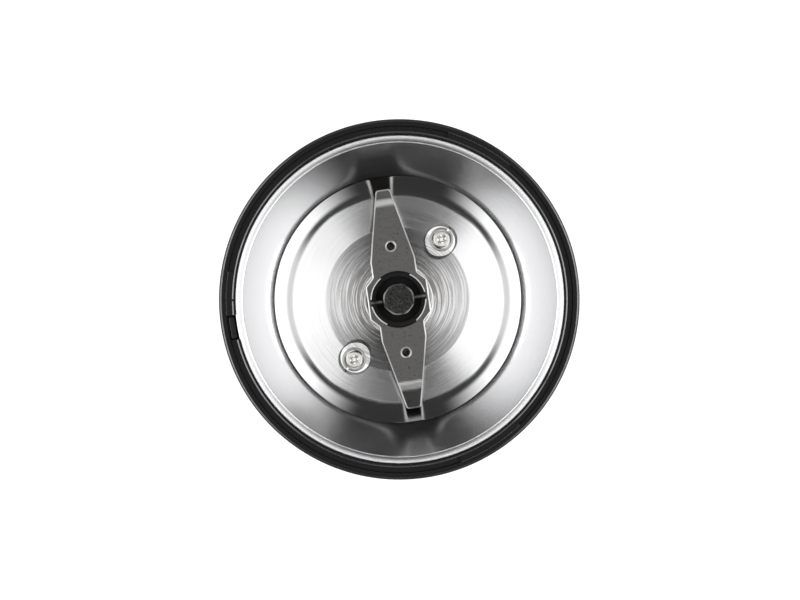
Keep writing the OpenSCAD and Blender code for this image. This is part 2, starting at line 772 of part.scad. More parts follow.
// A box in that frame, from one radius to another and as wide as said
module lock_box(w, r0, r1, z0, z1, x = 0) {
    translate([x - w / 2, -r1, z0]) cube([w, r1 - r0, z1 - z0]);
}

// Body shell: side wall, shelf, collar, lugs, and what is moulded inside it
module shell_section() {
    polygon([
        [base_r, seat_z],
        each arc([body_r - shelf_edge_r, shelf_z - shelf_edge_r], shelf_edge_r, 0, 90),
        [groove_r, shelf_z],
        [groove_r, groove_z],
        [collar_r, groove_z],
        each arc([collar_r - collar_edge_r, rim_z - collar_edge_r], collar_edge_r, 0, 90, 4),
        [lip_seat_r, rim_z],
        [lip_seat_r, lip_under_z],
        [collar_in_r, lip_under_z],
        [collar_in_r, shelf_under_z],
        [inner_r(shelf_under_z), shelf_under_z],
        [inner_r(seat_z), seat_z]
    ]);
}

module lid_lugs() {
    for (i = [0:lug_count - 1])
        rotate([0, 0, lug_start + i * 360 / lug_count])
            rotate_extrude(angle = lug_span)
                translate([collar_r - sink, rim_z - lug_drop - lug_t])
                    square([lug_reach + sink, lug_t]);
}

module base_pillars() {
    for (a = base_screw_angles) rotate([0, 0, a]) {
        translate([base_screw_at, 0, pillar_z]) cylinder(r = pillar_r, h = pillar_top - pillar_z);
        translate([base_screw_at, -pillar_r / 2, pillar_z])
            cube([inner_r(pillar_z) + sink - base_screw_at, pillar_r, pillar_top - pillar_z]);
    }
}

module holder_posts() {
    back = chord(inner_r(button_z), holder_post_x) + shell_wall / 2;
    for (x = [-holder_post_x, holder_post_x]) bar_y(x, -back, button_z, holder_post_r, back + holder_y);
}

module lock_pocket() {
    rib_x = lock_switch_w / 2 + fit_gap + pocket_rib_t / 2;
    deep_r = inner_r(lock_switch_z) + sink;
    at_lock() {
        lock_box(lock_switch_w, ledge_r, deep_r, lock_switch_z - pocket_rib_t, lock_switch_z);
        for (x = [-rib_x, rib_x])
            lock_box(pocket_rib_t, pocket_rib_r, deep_r - sink,
                lock_switch_z - pocket_rib_t, lock_switch_top_z - pocket_rib_t, x);
    }
}

module body_shell() color([0.05, 0.05, 0.055]) difference() {
    union() {
        rotate_extrude() shell_section();
        lid_lugs();
        intersection() {
            union() {
                base_pillars();
                holder_posts();
                lock_pocket();
                bar_y(0, inlet_pad_y, inlet_z, inlet_pad_r, inlet_pad_t);
            }
            cylinder(r = body_r - sink, h = body_h);
        }
    }
    // Slot for the lid's tongue, and the index notch beside it
    rotate([0, 0, slot_start]) rotate_extrude(angle = slot_span)
        translate([slot_in_r, slot_z]) square([lug_r + fit_gap - slot_in_r, rim_z - slot_z + over]);
    rotate([0, 0, notch_angle]) translate([lip_seat_r, -notch_w / 2, rim_z - notch_d])
        cube([collar_rim_w + over, notch_w, notch_d + over]);
    // Way for the key through the shelf, and room for its foot in the wall
    at_lock() {
        lock_box(passage_w, passage_r, key_out_r + slide_gap, shelf_under_z, groove_z + over);
        lock_box(key_foot_w + 2 * slide_gap, collar_in_r - over, key_out_r + slide_gap,
            key_foot_z - key_travel - slide_gap, shelf_under_z + step);
    }
    // Opening for the button, with pilot holes for its holder
    translate([0, -body_r + shell_wall * 2, button_z]) rotate([90, 0, 0])
        linear_extrude(shell_wall * 4)
            polygon(round_rect(button_w + 2 * slide_gap, button_h + 2 * slide_gap, button_w / 2));
    for (x = [-holder_post_x, holder_post_x])
        bar_y(x, switch_y - holder_screw_l - slide_gap, button_z, holder_screw_r + fit_gap,
            holder_screw_l + over);
    // Pilot holes for the base screws
    for (a = base_screw_angles) rotate([0, 0, a])
        translate([base_screw_at, 0, pillar_z - over]) cylinder(
            r = base_screw_r + fit_gap,
            h = base_head_z + base_screw_l + slide_gap - pillar_z + over
        );
    // Seat and hole for the cord inlet
    bar_y(0, inlet_pad_y - over, inlet_z, inlet_neck_r + fit_gap, inlet_pad_t + 4 * over);
    bar_y(0, inlet_seat_y, inlet_z, inlet_flange_r + fit_gap, 4 * over);
}

// Grinding cup: a drawn sheet, as the room inside it taken from its outside
module cup_inside() {
    rotate_extrude() polygon([
        [0, lip_z + over],
        [lip_r + over, lip_z + over],
        [lip_r + over, lip_z],
        each arc(lip_c, lip_top_r, 90, 180 + wall_a, 6),
        each arc(corner_c, corner_r, wall_a, dish_rise - 90, 6),
        each tail(arc(dish_c, dish_r, dish_rise - 90, floor_slope - 90, 8)),
        [dome_r, dome_z],
        [seal_flat_r, seal_z],
        [0, seal_z]
    ]);
}

module cup_outside() {
    rotate_extrude() polygon([
        [0, lip_z],
        [lip_r, lip_z],
        [lip_r, lip_under_z],
        each arc(lip_c, lip_bend_r, 90, 180 + wall_a, 4),
        each arc(corner_c, corner_r + cup_t, wall_a, dish_rise - 90, 6),
        each tail(arc(dish_c, dish_r + cup_t, dish_rise - 90, floor_slope - 90, 8)),
        [dome_r, dome_z - cup_t],
        [seal_flat_r, seal_z - cup_t],
        [0, seal_z - cup_t]
    ]);
}

module at_cup_screws() {
    for (a = cup_screw_angles) rotate([0, 0, a]) translate([screw_r, 0, 0]) children();
}

module grinding_cup() color([0.78, 0.78, 0.79]) difference() {
    union() {
        cup_outside();
        at_cup_screws() translate([0, 0, cup_seat_z - cup_t])
            cylinder(r1 = screw_seat_r + cup_t / 2, r2 = screw_seat_r + cup_t * 3 / 2, h = cup_t);
    }
    cup_inside();
    // Sunk screw seats with sloping sides, and their holes
    at_cup_screws() {
        translate([0, 0, cup_seat_z]) cylinder(r1 = screw_seat_r, r2 = screw_seat_r + 2, h = 2);
        translate([0, 0, cup_seat_z - cup_t - over])
            cylinder(r = cup_thread_r + slide_gap, h = cup_t + 2 * over);
    }
    translate([0, 0, seal_z - cup_t - over]) cylinder(r = seal_neck_r + fit_gap, h = cup_t + 2 * over);
}

module cup_screws() color([0.72, 0.72, 0.73]) {
    head_z = cup_seat_z + washer_t;
    at_cup_screws() difference() {
        union() {
            translate([0, 0, head_z - cup_screw_l]) cylinder(r = cup_thread_r, h = cup_screw_l + sink);
            translate([0, 0, head_z]) cylinder(r = cup_head_r, h = cup_head_h - cup_head_edge);
            translate([0, 0, head_z + cup_head_h - cup_head_edge])
                cylinder(r1 = cup_head_r, r2 = cup_head_r - cup_head_edge, h = cup_head_edge);
        }
        for (a = [0, 90]) rotate([0, 0, a])
            translate([-cross_l / 2, -cross_w / 2, head_z + cup_head_h - cross_d])
                cube([cross_l, cross_w, cross_d + over]);
    }
}

module cup_washers() color([0.66, 0.66, 0.67]) at_cup_screws() difference() {
    ring(cup_thread_r + fit_gap, washer_r, cup_seat_z, washer_t);
    translate([0, -washer_split_w / 2, cup_seat_z - over])
        cube([washer_r + over, washer_split_w, washer_t + 2 * over]);
}

module cup_gaskets() color([0.12, 0.12, 0.12]) at_cup_screws()
    ring(cup_thread_r + slide_gap, screw_seat_r, boss_top_z, gasket_t);

// Shaft seal: a grommet on the edge of the cup's centre hole
module shaft_seal() color([0.1, 0.1, 0.1]) {
    under_z = seal_z - cup_t - seal_flange_t;
    seal_h = cup_t + 2 * seal_flange_t;
    difference() {
        union() {
            translate([0, 0, seal_z]) cylinder(r = seal_flange_r, h = seal_flange_t);
            translate([0, 0, under_z]) cylinder(r = seal_neck_r, h = seal_h);
            translate([0, 0, under_z]) cylinder(r = seal_flange_r, h = seal_flange_t);
        }
        translate([0, 0, under_z - over]) cylinder(r = shaft_r + run_gap, h = seal_h + 2 * over);
    }
}

// Blade: the plan outline cut out of a strip whose ends are bent up and down
module wing_plan() {
    polygon([
        for (s = [1, -1]) each [
            [plate_w / 2 * s, plate_l / 2 * -s],
            [plate_w / 2 * s, plate_l / 2 * s],
            [wing_root_w / 2 * s, plate_neck * s],
            [wing_root_w / 2 * s, taper_start * s],
            [wing_tip_w / 2 * s, wing_reach * s],
            [wing_tip_w / 2 * -s, wing_reach * s],
            [wing_root_w / 2 * -s, taper_start * s],
            [wing_root_w / 2 * -s, plate_neck * s]
        ]
    ]);
}

// One surface of the strip's end, from the bend to past the tip, a half thickness off its middle
function strip_edge(start, turn, half) =
    let (
        up = sign(turn),
        bend = arc([start, up * tip_bend_r], tip_bend_r - up * half, -90 * up, -90 * up + turn, 6),
        ahead = (wing_reach - start + tip_bend_r) * [cos(turn), sin(turn)]
    ) concat(bend, [bend[6] + ahead]);
function backwards(p) = [for (i = [len(p) - 1:-1:0]) p[i]];
function other_end(p) = [for (q = p) [-q[0], q[1]]];

module wing_side() {
    polygon(concat(
        strip_edge(rise_start, rise_angle, -blade_t / 2),
        backwards(strip_edge(rise_start, rise_angle, blade_t / 2)),
        other_end(strip_edge(fall_start, -fall_angle, blade_t / 2)),
        other_end(backwards(strip_edge(fall_start, -fall_angle, -blade_t / 2)))
    ));
}

module blade() color([0.6, 0.6, 0.6]) rotate([0, 0, blade_angle - 90]) difference() {
    intersection() {
        translate([0, 0, blade_z - wing_reach]) linear_extrude(2 * wing_reach) wing_plan();
        translate([-plate_w, 0, blade_z + blade_t / 2]) rotate([90, 0, 90])
            linear_extrude(2 * plate_w) wing_side();
    }
    translate([0, 0, blade_z - over]) cylinder(r = blade_bore_r, h = blade_t + 2 * over);
    translate([-rib_reach - fit_gap, -key_slot_w / 2, blade_z - over])
        cube([2 * (rib_reach + fit_gap), key_slot_w, blade_t + 2 * over]);
    for (y = [-wing_hole_at, wing_hole_at]) translate([0, y, 0]) {
        translate([0, 0, blade_z - over]) cylinder(r = wing_hole_r, h = blade_t + 2 * over);
        translate([0, 0, blade_top_z - wing_hole_edge])
            cylinder(r1 = wing_hole_r, r2 = wing_hole_r + 2 * wing_hole_edge, h = 2 * wing_hole_edge);
    }
}

// Hub: foot, flange under the blade, ring inside it, eight-sided post, two ribs, two retaining lips
module hub_lips() {
    well_r = hub_r - hub_ring_w;
    for (a = [90, 270]) rotate([0, 0, a - lip_span / 2]) rotate_extrude(angle = lip_span)
        polygon([
            [well_r, blade_top_z - sink],
            [hub_r - fit_gap, blade_top_z - sink],
            [hub_r - fit_gap, blade_top_z + fit_gap],
            [lip_reach, blade_top_z + fit_gap],
            [hub_r, blade_top_z + lip_t],
            [well_r, blade_top_z + lip_t]
        ]);
}

module hub_post() {
    side_top_z = post_top_z - post_edge;
    intersection() {
        union() {
            translate([0, 0, recess_z - sink]) cylinder(r = post_r, h = side_top_z - recess_z + sink);
            translate([0, 0, side_top_z]) cylinder(r1 = post_r, r2 = post_r - post_edge, h = post_edge);
        }
        translate([0, 0, recess_z - over]) rotate([0, 0, 22.5])
            cylinder(r = post_corner_r, h = post_top_z - recess_z + 2 * over, $fn = 8);
    }
}

module blade_hub() color([0.09, 0.09, 0.09]) rotate([0, 0, blade_angle - 90]) difference() {
    union() {
        translate([0, 0, hub_foot_z]) cylinder(r = hub_foot_r, h = recess_z - hub_foot_z);
        difference() {
            union() {
                translate([0, 0, blade_z - hub_flange_t]) cylinder(r = hub_flange_r, h = hub_flange_t);
                translate([0, 0, blade_z - sink]) cylinder(r = hub_r, h = blade_t + sink);
                hub_lips();
            }
            translate([0, 0, recess_z]) cylinder(r = hub_r - hub_ring_w, h = hub_recess_d + over);
        }
        hub_post();
        both_sides() translate([post_r - 2 * sink, -rib_w / 2, recess_z - sink])
            cube([rib_reach - post_r + 2 * sink, rib_w, blade_top_z - recess_z + sink]);
    }
    translate([0, 0, hub_foot_z - over])
        cylinder(r = shaft_r + fit_gap, h = shaft_top_z + fit_gap - hub_foot_z + over);
}

// Shaft, with a thicker middle between its thrust washers
module motor_shaft() color([0.7, 0.7, 0.72]) {
    translate([0, 0, shaft_z]) cylinder(r = shaft_r, h = shaft_top_z - shaft_z);
    translate([0, 0, shoulder_z]) cylinder(r = shaft_core_r, h = shoulder_top_z - shoulder_z);
}

module thrust_washers() color([0.75, 0.65, 0.45])
    for (z = [shoulder_z - thrust_t, shoulder_top_z]) ring(shaft_r + fit_gap, thrust_r, z, thrust_t);

module thrust_pad() color([0.85, 0.8, 0.7])
    translate([0, 0, motor_z + bottom_boss_floor]) cylinder(r = bearing_r - fit_gap, h = thrust_pad_t);

// Armature: slotted stack, its winding, and the commutator
module slot_cuts(gap) {
    for (i = [0:slot_count - 1]) rotate([0, 0, i * 360 / slot_count]) {
        translate([slot_at, 0, 0]) circle(r = slot_r - gap);
        if (gap == 0) translate([slot_at, -slot_mouth / 2]) square([armature_r - slot_at + over, slot_mouth]);
    }
}

module armature_core() color([0.45, 0.45, 0.47])
    translate([0, 0, stack_z]) linear_extrude(stator_h) difference() {
        circle(r = armature_r);
        circle(r = shaft_core_r + fit_gap);
        slot_cuts(0);
    }

module armature_winding() color([0.72, 0.38, 0.16]) {
    translate([0, 0, stack_z - sink]) linear_extrude(stator_h + 2 * sink) slot_cuts(fit_gap);
    for (z = [stack_z - winding_end_h, stack_top_z + fit_gap]) {
        ring(slot_at - slot_r - sink, winding_r, z, winding_end_h - fit_gap);
    }
}

module commutator_core() color([0.3, 0.18, 0.12])
    ring(shaft_core_r + fit_gap, commutator_r - bar_t, commutator_z, commutator_h);

module commutator_bars() color([0.8, 0.45, 0.25]) translate([0, 0, commutator_z]) linear_extrude(commutator_h)
    difference() {
        circle(r = commutator_r);
        circle(r = commutator_r - bar_t + fit_gap);
        for (i = [0:bar_count - 1]) rotate([0, 0, i * 360 / bar_count])
            translate([0, -bar_gap / 2]) square([commutator_r + over, bar_gap]);
    }

// Stator: a stack with two poles, a window on each side of each pole, and four bolt holes
module stator_core() color([0.5, 0.5, 0.52])
    translate([0, 0, stack_z]) linear_extrude(stator_h) difference() {
        polygon(round_rect(stator_w, stator_d, stator_corner_r));
        circle(r = stator_bore_r);
        for (x = [-1, 1], y = [-1, 1]) scale([x, y])
            translate([pole_half_w, coil_at - coil_clear])
                square([coil_w + slide_gap + coil_clear, coil_d + 2 * coil_clear]);
        for (p = bolt_places) translate(p) circle(r = bolt_r + fit_gap * 2);
    }

// A coil round each pole
module field_coils() color([0.75, 0.4, 0.15]) both_sides()
    translate([0, coil_at + coil_d, (coil_z + coil_top_z) / 2]) rotate([90, 0, 0]) linear_extrude(coil_d)
        difference() {
            polygon(round_rect(2 * coil_half_w, coil_top_z - coil_z, coil_corner_r));
            square([2 * (pole_half_w + slide_gap), stator_h + 2 * coil_clear], center = true);
        }

// Brackets above and below the stator
module bracket_outline() {
    polygon(round_rect(bracket_w, bracket_d, stator_corner_r + bracket_lap));
}

module bracket_holes(z, h, r) {
    for (p = bolt_places) translate([p[0], p[1], z - over]) cylinder(r = r, h = h + 2 * over);
}

module top_bracket() color([0.62, 0.62, 0.64]) difference() {
    union() {
        translate([0, 0, top_plate_z]) linear_extrude(bracket_t) bracket_outline();
        translate([0, 0, top_bearing_z]) cylinder(r = bearing_boss_r, h = top_bearing_h);
        at_cup_screws() translate([0, 0, top_plate_z + sink])
            cylinder(r = boss_r, h = boss_top_z - top_plate_z - sink);
        for (p = bolt_places) translate([p[0], p[1], stack_top_z])
            cylinder(r = leg_r, h = top_plate_z - stack_top_z + sink);
    }
    bracket_holes(stack_top_z, top_plate_z + bracket_t - stack_top_z, bolt_r + fit_gap);
    at_cup_screws() translate([0, 0, cup_seat_z + washer_t - cup_screw_l - slide_gap])
        cylinder(r = cup_thread_r + fit_gap, h = cup_screw_l + over);
    translate([0, 0, top_bearing_z - over]) cylinder(r = bearing_r, h = top_bearing_h + 2 * over);
}

module top_bearing() color([0.72, 0.55, 0.3])
    ring(shaft_r + run_gap, bearing_r - fit_gap, top_bearing_z, top_bearing_h);

module bottom_bracket() color([0.25, 0.2, 0.16]) difference() {
    union() {
        translate([0, 0, bottom_plate_z]) linear_extrude(bracket_t) bracket_outline();
        translate([0, 0, motor_z]) cylinder(r = bearing_boss_r, h = bottom_boss_h + sink);
        for (p = bolt_places) translate([p[0], p[1], bottom_plate_z + sink])
            cylinder(r = leg_r, h = stack_z - bottom_plate_z - sink);
        both_sides() translate([pedestal_from, -holder_half_w, bottom_plate_z + sink])
            cube([holder_to - pedestal_from, 2 * holder_half_w, pedestal_top_z - bottom_plate_z - sink]);
    }
    bracket_holes(bottom_plate_z, stack_z - bottom_plate_z, bolt_r + fit_gap);
    translate([0, 0, motor_z + bottom_boss_floor])
        cylinder(r = bearing_r, h = bottom_boss_h + bracket_t + over);
}

module bottom_bearing() color([0.72, 0.55, 0.3])
    ring(shaft_r + run_gap, bearing_r - fit_gap, bottom_bearing_z, bottom_plate_top_z - bottom_bearing_z);

module motor_bolts() color([0.68, 0.68, 0.7]) for (p = bolt_places) translate(p) {
    translate([0, 0, bottom_plate_z - bolt_head_h]) cylinder(r = bolt_head_r, h = bolt_head_h, $fn = 6);
    translate([0, 0, bottom_plate_z - sink])
        cylinder(r = bolt_r, h = top_plate_z + bracket_t - bottom_plate_z + sink);
}

// Brush gear on both sides of the commutator
module brush_holders() color([0.8, 0.65, 0.3]) both_sides() difference() {
    translate([holder_from, -holder_half_w, brush_z - holder_half_h])
        cube([holder_to - holder_from, 2 * holder_half_w, 2 * holder_half_h]);
    translate([holder_from - over, holder_wall - holder_half_w, brush_z - holder_half_h + holder_wall])
        cube([holder_to - holder_from - holder_wall + over, 2 * (holder_half_w - holder_wall),
            2 * (holder_half_h - holder_wall)]);
}

module carbon_brushes() color([0.2, 0.2, 0.21]) both_sides() difference() {
    translate([0, -brush_w / 2, brush_z - brush_h / 2]) cube([brush_to, brush_w, brush_h]);
    translate([0, 0, brush_z - brush_h]) cylinder(r = brush_from, h = 2 * brush_h);
}

module brush_springs() color([0.7, 0.7, 0.72]) both_sides()
    translate([brush_to, 0, brush_z]) rotate([0, 90, 0])
        spring(brush_spring_r, brush_spring_l, brush_spring_turns);

// Rubber cup that steadies the motor's foot on the base
module motor_mount() color([0.13, 0.13, 0.13]) difference() {
    translate([0, 0, mount_z]) cylinder(r = mount_r, h = mount_floor + mount_rim);
    translate([0, 0, motor_z]) cylinder(r = bearing_boss_r + fit_gap, h = mount_rim + over);
}

// Start button, with a flange that keeps it in the body and a stem to its switch
module button_prism(grow, y0, y1) {
    translate([0, y1, button_z]) rotate([90, 0, 0]) linear_extrude(y1 - y0)
        polygon(round_rect(button_w + 2 * grow, button_h + 2 * grow, button_w / 2 + grow - fit_gap));
}

module start_button() color([0.07, 0.07, 0.075]) union() {
    difference() {
        intersection() {
            button_prism(0, -body_r - over, flange_back_y);
            translate([0, 0, button_z - button_h]) cylinder(r = button_face_r, h = 2 * button_h);
        }
        translate([0, dimple_d - button_face_r - dimple_r, button_z]) sphere(r = dimple_r);
    }
    button_prism(button_lip, flange_y, flange_back_y);
    bar_y(0, flange_back_y - sink, button_z, stem_r, stem_l + sink);
}

module button_spring() color([0.7, 0.7, 0.72]) translate([0, flange_back_y, button_z]) rotate([-90, 0, 0])
    spring(button_spring_r, button_spring_l, button_spring_turns);

module switch_tab(x, y, z) {
    translate([x - tab_w / 2, y - tab_t / 2, z]) cube([tab_w, tab_t, tab_l + sink]);
}

module start_switch() color([0.16, 0.16, 0.17]) difference() {
    union() {
        translate([-switch_w / 2, switch_y, button_z - switch_h / 2]) cube([switch_w, switch_d, switch_h]);
        for (x = [-tab_at, tab_at]) switch_tab(x, start_tab_y, start_tab_z);
    }
    bar_y(0, switch_y - over, button_z, plunger_r + run_gap, switch_d - switch_wall + over);
}

module start_switch_plunger() color([0.85, 0.83, 0.78])
    bar_y(0, plunger_tip_y, button_z, plunger_r, plunger_end_y - plunger_tip_y);

module switch_holder() color([0.2, 0.2, 0.21]) difference() {
    union() {
        translate([-holder_w / 2, holder_y, button_z - holder_h / 2]) cube([holder_w, holder_t, holder_h]);
        for (x = [-switch_w / 2 - fit_gap - clip_t, switch_w / 2 + fit_gap])
            translate([x, switch_y - sink, button_z - clip_h / 2]) cube([clip_t, clip_l + sink, clip_h]);
    }
    bar_y(0, holder_y - over, button_z, plunger_r + slide_gap, holder_t + 2 * over);
    for (x = [-holder_post_x, holder_post_x])
        bar_y(x, holder_y - over, button_z, holder_screw_r + fit_gap, holder_t + 2 * over);
}

module holder_screws() color([0.68, 0.68, 0.7]) for (x = [-holder_post_x, holder_post_x]) {
    bar_y(x, switch_y - holder_screw_l, button_z, holder_screw_r, holder_screw_l + sink);
    bar_y(x, switch_y, button_z, holder_head_r, holder_head_h);
}

// Interlock: the key that the lid presses, its spring, and the switch under it
module interlock_key() color([0.08, 0.08, 0.08]) at_lock() {
    lock_box(key_w, key_in_r, key_out_r, key_foot_top_z - sink, key_top_z);
    lock_box(key_foot_w, cup_outer_r(key_foot_top_z) + key_clear, key_out_r, key_foot_z, key_foot_top_z);
    translate([0, -lock_pin_r, pin_z]) cylinder(r = pin_r, h = pin_l + sink);
}

module interlock_spring() color([0.7, 0.7, 0.72]) at_lock()
    translate([0, -lock_pin_r, lock_switch_top_z]) spring(key_spring_r, key_spring_l, key_spring_turns);

module interlock_switch() color([0.16, 0.16, 0.17]) at_lock() difference() {
    union() {
        lock_box(lock_switch_w, lock_switch_in_r, lock_switch_out_r, lock_switch_z, lock_switch_top_z);
        for (x = [-tab_at, tab_at]) switch_tab(x, -lock_tab_r, lock_tab_z);
    }
    translate([0, -lock_pin_r, lock_bore_z]) cylinder(r = pin_r + run_gap, h = lock_switch_h);
}

module interlock_switch_plunger() color([0.85, 0.83, 0.78]) at_lock()
    translate([0, -lock_pin_r, lock_plunger_z]) cylinder(r = pin_r, h = lock_plunger_top_z - lock_plunger_z);

// Wiring: terminals by the cord inlet, a suppressor beside them, and the leads
module terminal_block() color([0.85, 0.84, 0.8])
    translate([-terminal_w / 2, terminal_at - terminal_d / 2, seat_z])
        cube([terminal_w, terminal_d, terminal_h]);

module suppressor() color([0.85, 0.7, 0.15])
    translate([suppressor_x, terminal_at - suppressor_d / 2, seat_z])
        cube([suppressor_w, suppressor_d, suppressor_h]);

// A wire along a route whose first and last steps stay straight
module lead(route, across) {
    last = len(route) - 1;
    bends = spline([for (i = [1:last - 1]) route[i]]);
    tube(concat([route[0]], bends, [route[last]]), wire_r, 8, across);
}

module supply_lead() color([0.45, 0.25, 0.12]) lead([
    [terminal_pitch / 2, terminal_at, terminal_top_z + fit_gap],
    [terminal_pitch / 2, terminal_at, terminal_top_z + 3],
    [20, 33, 30],
    [37, 12, 42],
    [37, -12, 52],
    [24, -29, 57],
    [9, -32, start_tab_z - 6],
    [tab_at, start_tab_y, start_tab_z - 3],
    [tab_at, start_tab_y, start_tab_z - fit_gap]
], [0.3, 0.4, -0.2]);

module link_lead() color([0.45, 0.25, 0.12]) lead([
    [-tab_at, start_tab_y, start_tab_z - fit_gap],
    [-tab_at, start_tab_y, start_tab_z - 3],
    [-12, -31, start_tab_z - 4],
    [-21, -31, button_z - 6],
    [-21, -32, button_z + 5],
    [-18, -34, button_z + 12],
    [-9, -36.5, lock_tab_z - 1.6],
    lock_place(-tab_at, lock_tab_r, lock_tab_z - 2),
    lock_place(-tab_at, lock_tab_r, lock_tab_z - fit_gap)
], [0.3, 1, 0.2]);

module motor_lead() color([0.1, 0.1, 0.1]) lead([
    lock_place(tab_at, lock_tab_r, lock_tab_z - fit_gap),
    lock_place(tab_at, lock_tab_r, lock_tab_z - 3),
    [20, -33, button_z + 10],
    [22, -28, button_z + 3],
    [14, -coil_at - coil_d - 3, coil_top_z - 4],
    [14, -coil_at - coil_d - fit_gap, coil_top_z - 4]
], [1, 0.2, -0.4]);

module return_lead() color([0.2, 0.35, 0.7]) lead([
    [-14, coil_at + coil_d + fit_gap, coil_top_z - 4],
    [-14, coil_at + coil_d + 3, coil_top_z - 4],
    [-16, 30, stack_top_z - 6],
    [-12, 32, 40],
    [-6, 30, 22],
    [-terminal_pitch / 2, terminal_at, terminal_top_z + 3],
    [-terminal_pitch / 2, terminal_at, terminal_top_z + fit_gap]
], [1, 0.2, 0.3]);

module brush_leads() color([0.1, 0.1, 0.1]) both_sides() lead([
    [holder_to + fit_gap, 0, brush_z],
    [holder_to + 3, 0, brush_z],
    [holder_to + 5, -7, brush_z + 3],
    [holder_to, -13, coil_z + 3],
    [coil_half_w + 2.5, -coil_at - 2, coil_z + 4],
    [coil_half_w + fit_gap, -coil_at - 2, coil_z + 4]
], [0, 0.2, 1]);

// Cord inlet: a flanged bush through the rear wall, and its nut
module cord_inlet() color([0.08, 0.08, 0.08]) difference() {
    union() {
        bar_y(0, inlet_seat_y, inlet_z, inlet_flange_r, inlet_flange_t);
        bar_y(0, inlet_end_y, inlet_z, inlet_neck_r, inlet_face_y - inlet_end_y - sink);
    }
    bar_y(0, inlet_end_y - over, inlet_z, inlet_bore_r, inlet_face_y - inlet_end_y + 2 * over);
}

module inlet_nut() color([0.15, 0.15, 0.15]) difference() {
    translate([0, inlet_pad_y, inlet_z]) rotate([90, 0, 0])
        cylinder(r = inlet_nut_r, h = inlet_nut_t, $fn = 6);
    bar_y(0, inlet_pad_y - inlet_nut_t - over, inlet_z, inlet_neck_r + fit_gap, inlet_nut_t + 2 * over);
}

// Base cover: plate with a spigot, screw bosses, vents, foot recesses and the ring for the motor mount
module at_feet() {
    for (i = [0:3]) rotate([0, 0, 45 + 90 * i]) translate([rubber_at, 0, 0]) children();
}

module base_cover() color([0.06, 0.06, 0.065]) difference() {
    union() {
        rotate_extrude() polygon([
            [0, foot_h],
            each arc([base_r - base_edge_r, foot_h + base_edge_r], base_edge_r, -90, 0),
            [base_r, seat_z],
            [0, seat_z]
        ]);
        ring(spigot_r - spigot_wall, spigot_r, seat_z - sink, spigot_h + sink);
        for (a = base_screw_angles) rotate([0, 0, a]) translate([base_screw_at, 0, seat_z - sink])
            cylinder(r = base_boss_r, h = base_boss_h + sink);
        translate([0, 0, seat_z - sink])
            cylinder(r = mount_ring_r, h = mount_z + mount_rim - seat_z + sink);
    }
    translate([0, 0, mount_z]) cylinder(r = mount_r + fit_gap, h = mount_rim + over);
    for (a = base_screw_angles) rotate([0, 0, a]) translate([base_screw_at, 0, 0]) {
        translate([0, 0, foot_h - over])
            cylinder(r = base_head_r + slide_gap, h = base_head_z - foot_h + over);
        cylinder(r = base_screw_r + fit_gap, h = pillar_z + over);
    }
    at_feet() translate([0, 0, foot_h - over]) cylinder(r = rubber_r + fit_gap, h = rubber_recess + over);
    for (i = [0:vent_count - 1]) rotate([0, 0, (i + 0.5) * 360 / vent_count])
        translate([vent_from, -vent_w / 2, foot_h - over]) cube([vent_l, vent_w, base_t + 2 * over]);
}

module base_screws() color([0.68, 0.68, 0.7]) for (a = base_screw_angles) rotate([0, 0, a])
    translate([base_screw_at, 0, 0]) difference() {
        union() {
            translate([0, 0, base_head_z - base_head_h]) cylinder(r = base_head_r, h = base_head_h);
            translate([0, 0, base_head_z - sink]) cylinder(r = base_screw_r, h = base_screw_l + sink);
        }
        for (t = [0, 90]) rotate([0, 0, t])
            translate([-cross_l / 2, -cross_w / 2, base_head_z - base_head_h - over])
                cube([cross_l, cross_w, cross_d + over]);
    }

module rubber_feet() color([0.1, 0.1, 0.1]) at_feet() {
    cylinder(r1 = rubber_r - rubber_edge, r2 = rubber_r, h = rubber_edge);
    translate([0, 0, rubber_edge]) cylinder(r = rubber_r, h = foot_h + rubber_recess - rubber_edge);
}

body_shell();
grinding_cup();
cup_screws();
cup_washers();
cup_gaskets();
shaft_seal();
blade();
blade_hub();
motor_shaft();
thrust_washers();
thrust_pad();
armature_core();
armature_winding();
commutator_core();
commutator_bars();
stator_core();
field_coils();
top_bracket();
top_bearing();
bottom_bracket();
bottom_bearing();
motor_bolts();
brush_holders();
carbon_brushes();
brush_springs();
motor_mount();
start_button();
button_spring();
start_switch();
start_switch_plunger();
switch_holder();
holder_screws();
interlock_key();
interlock_spring();
interlock_switch();
interlock_switch_plunger();
terminal_block();
suppressor();
supply_lead();
link_lead();
motor_lead();
return_lead();
brush_leads();
cord_inlet();
inlet_nut();
base_cover();
base_screws();
rubber_feet();
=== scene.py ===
"""Electric coffee grinder without its lid, seen from straight above: the visible pieces with their edges,
finishes and wear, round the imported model, on a plain pale floor."""
import math
from functools import partial

import bmesh
import bpy
from mathutils import Matrix, Vector


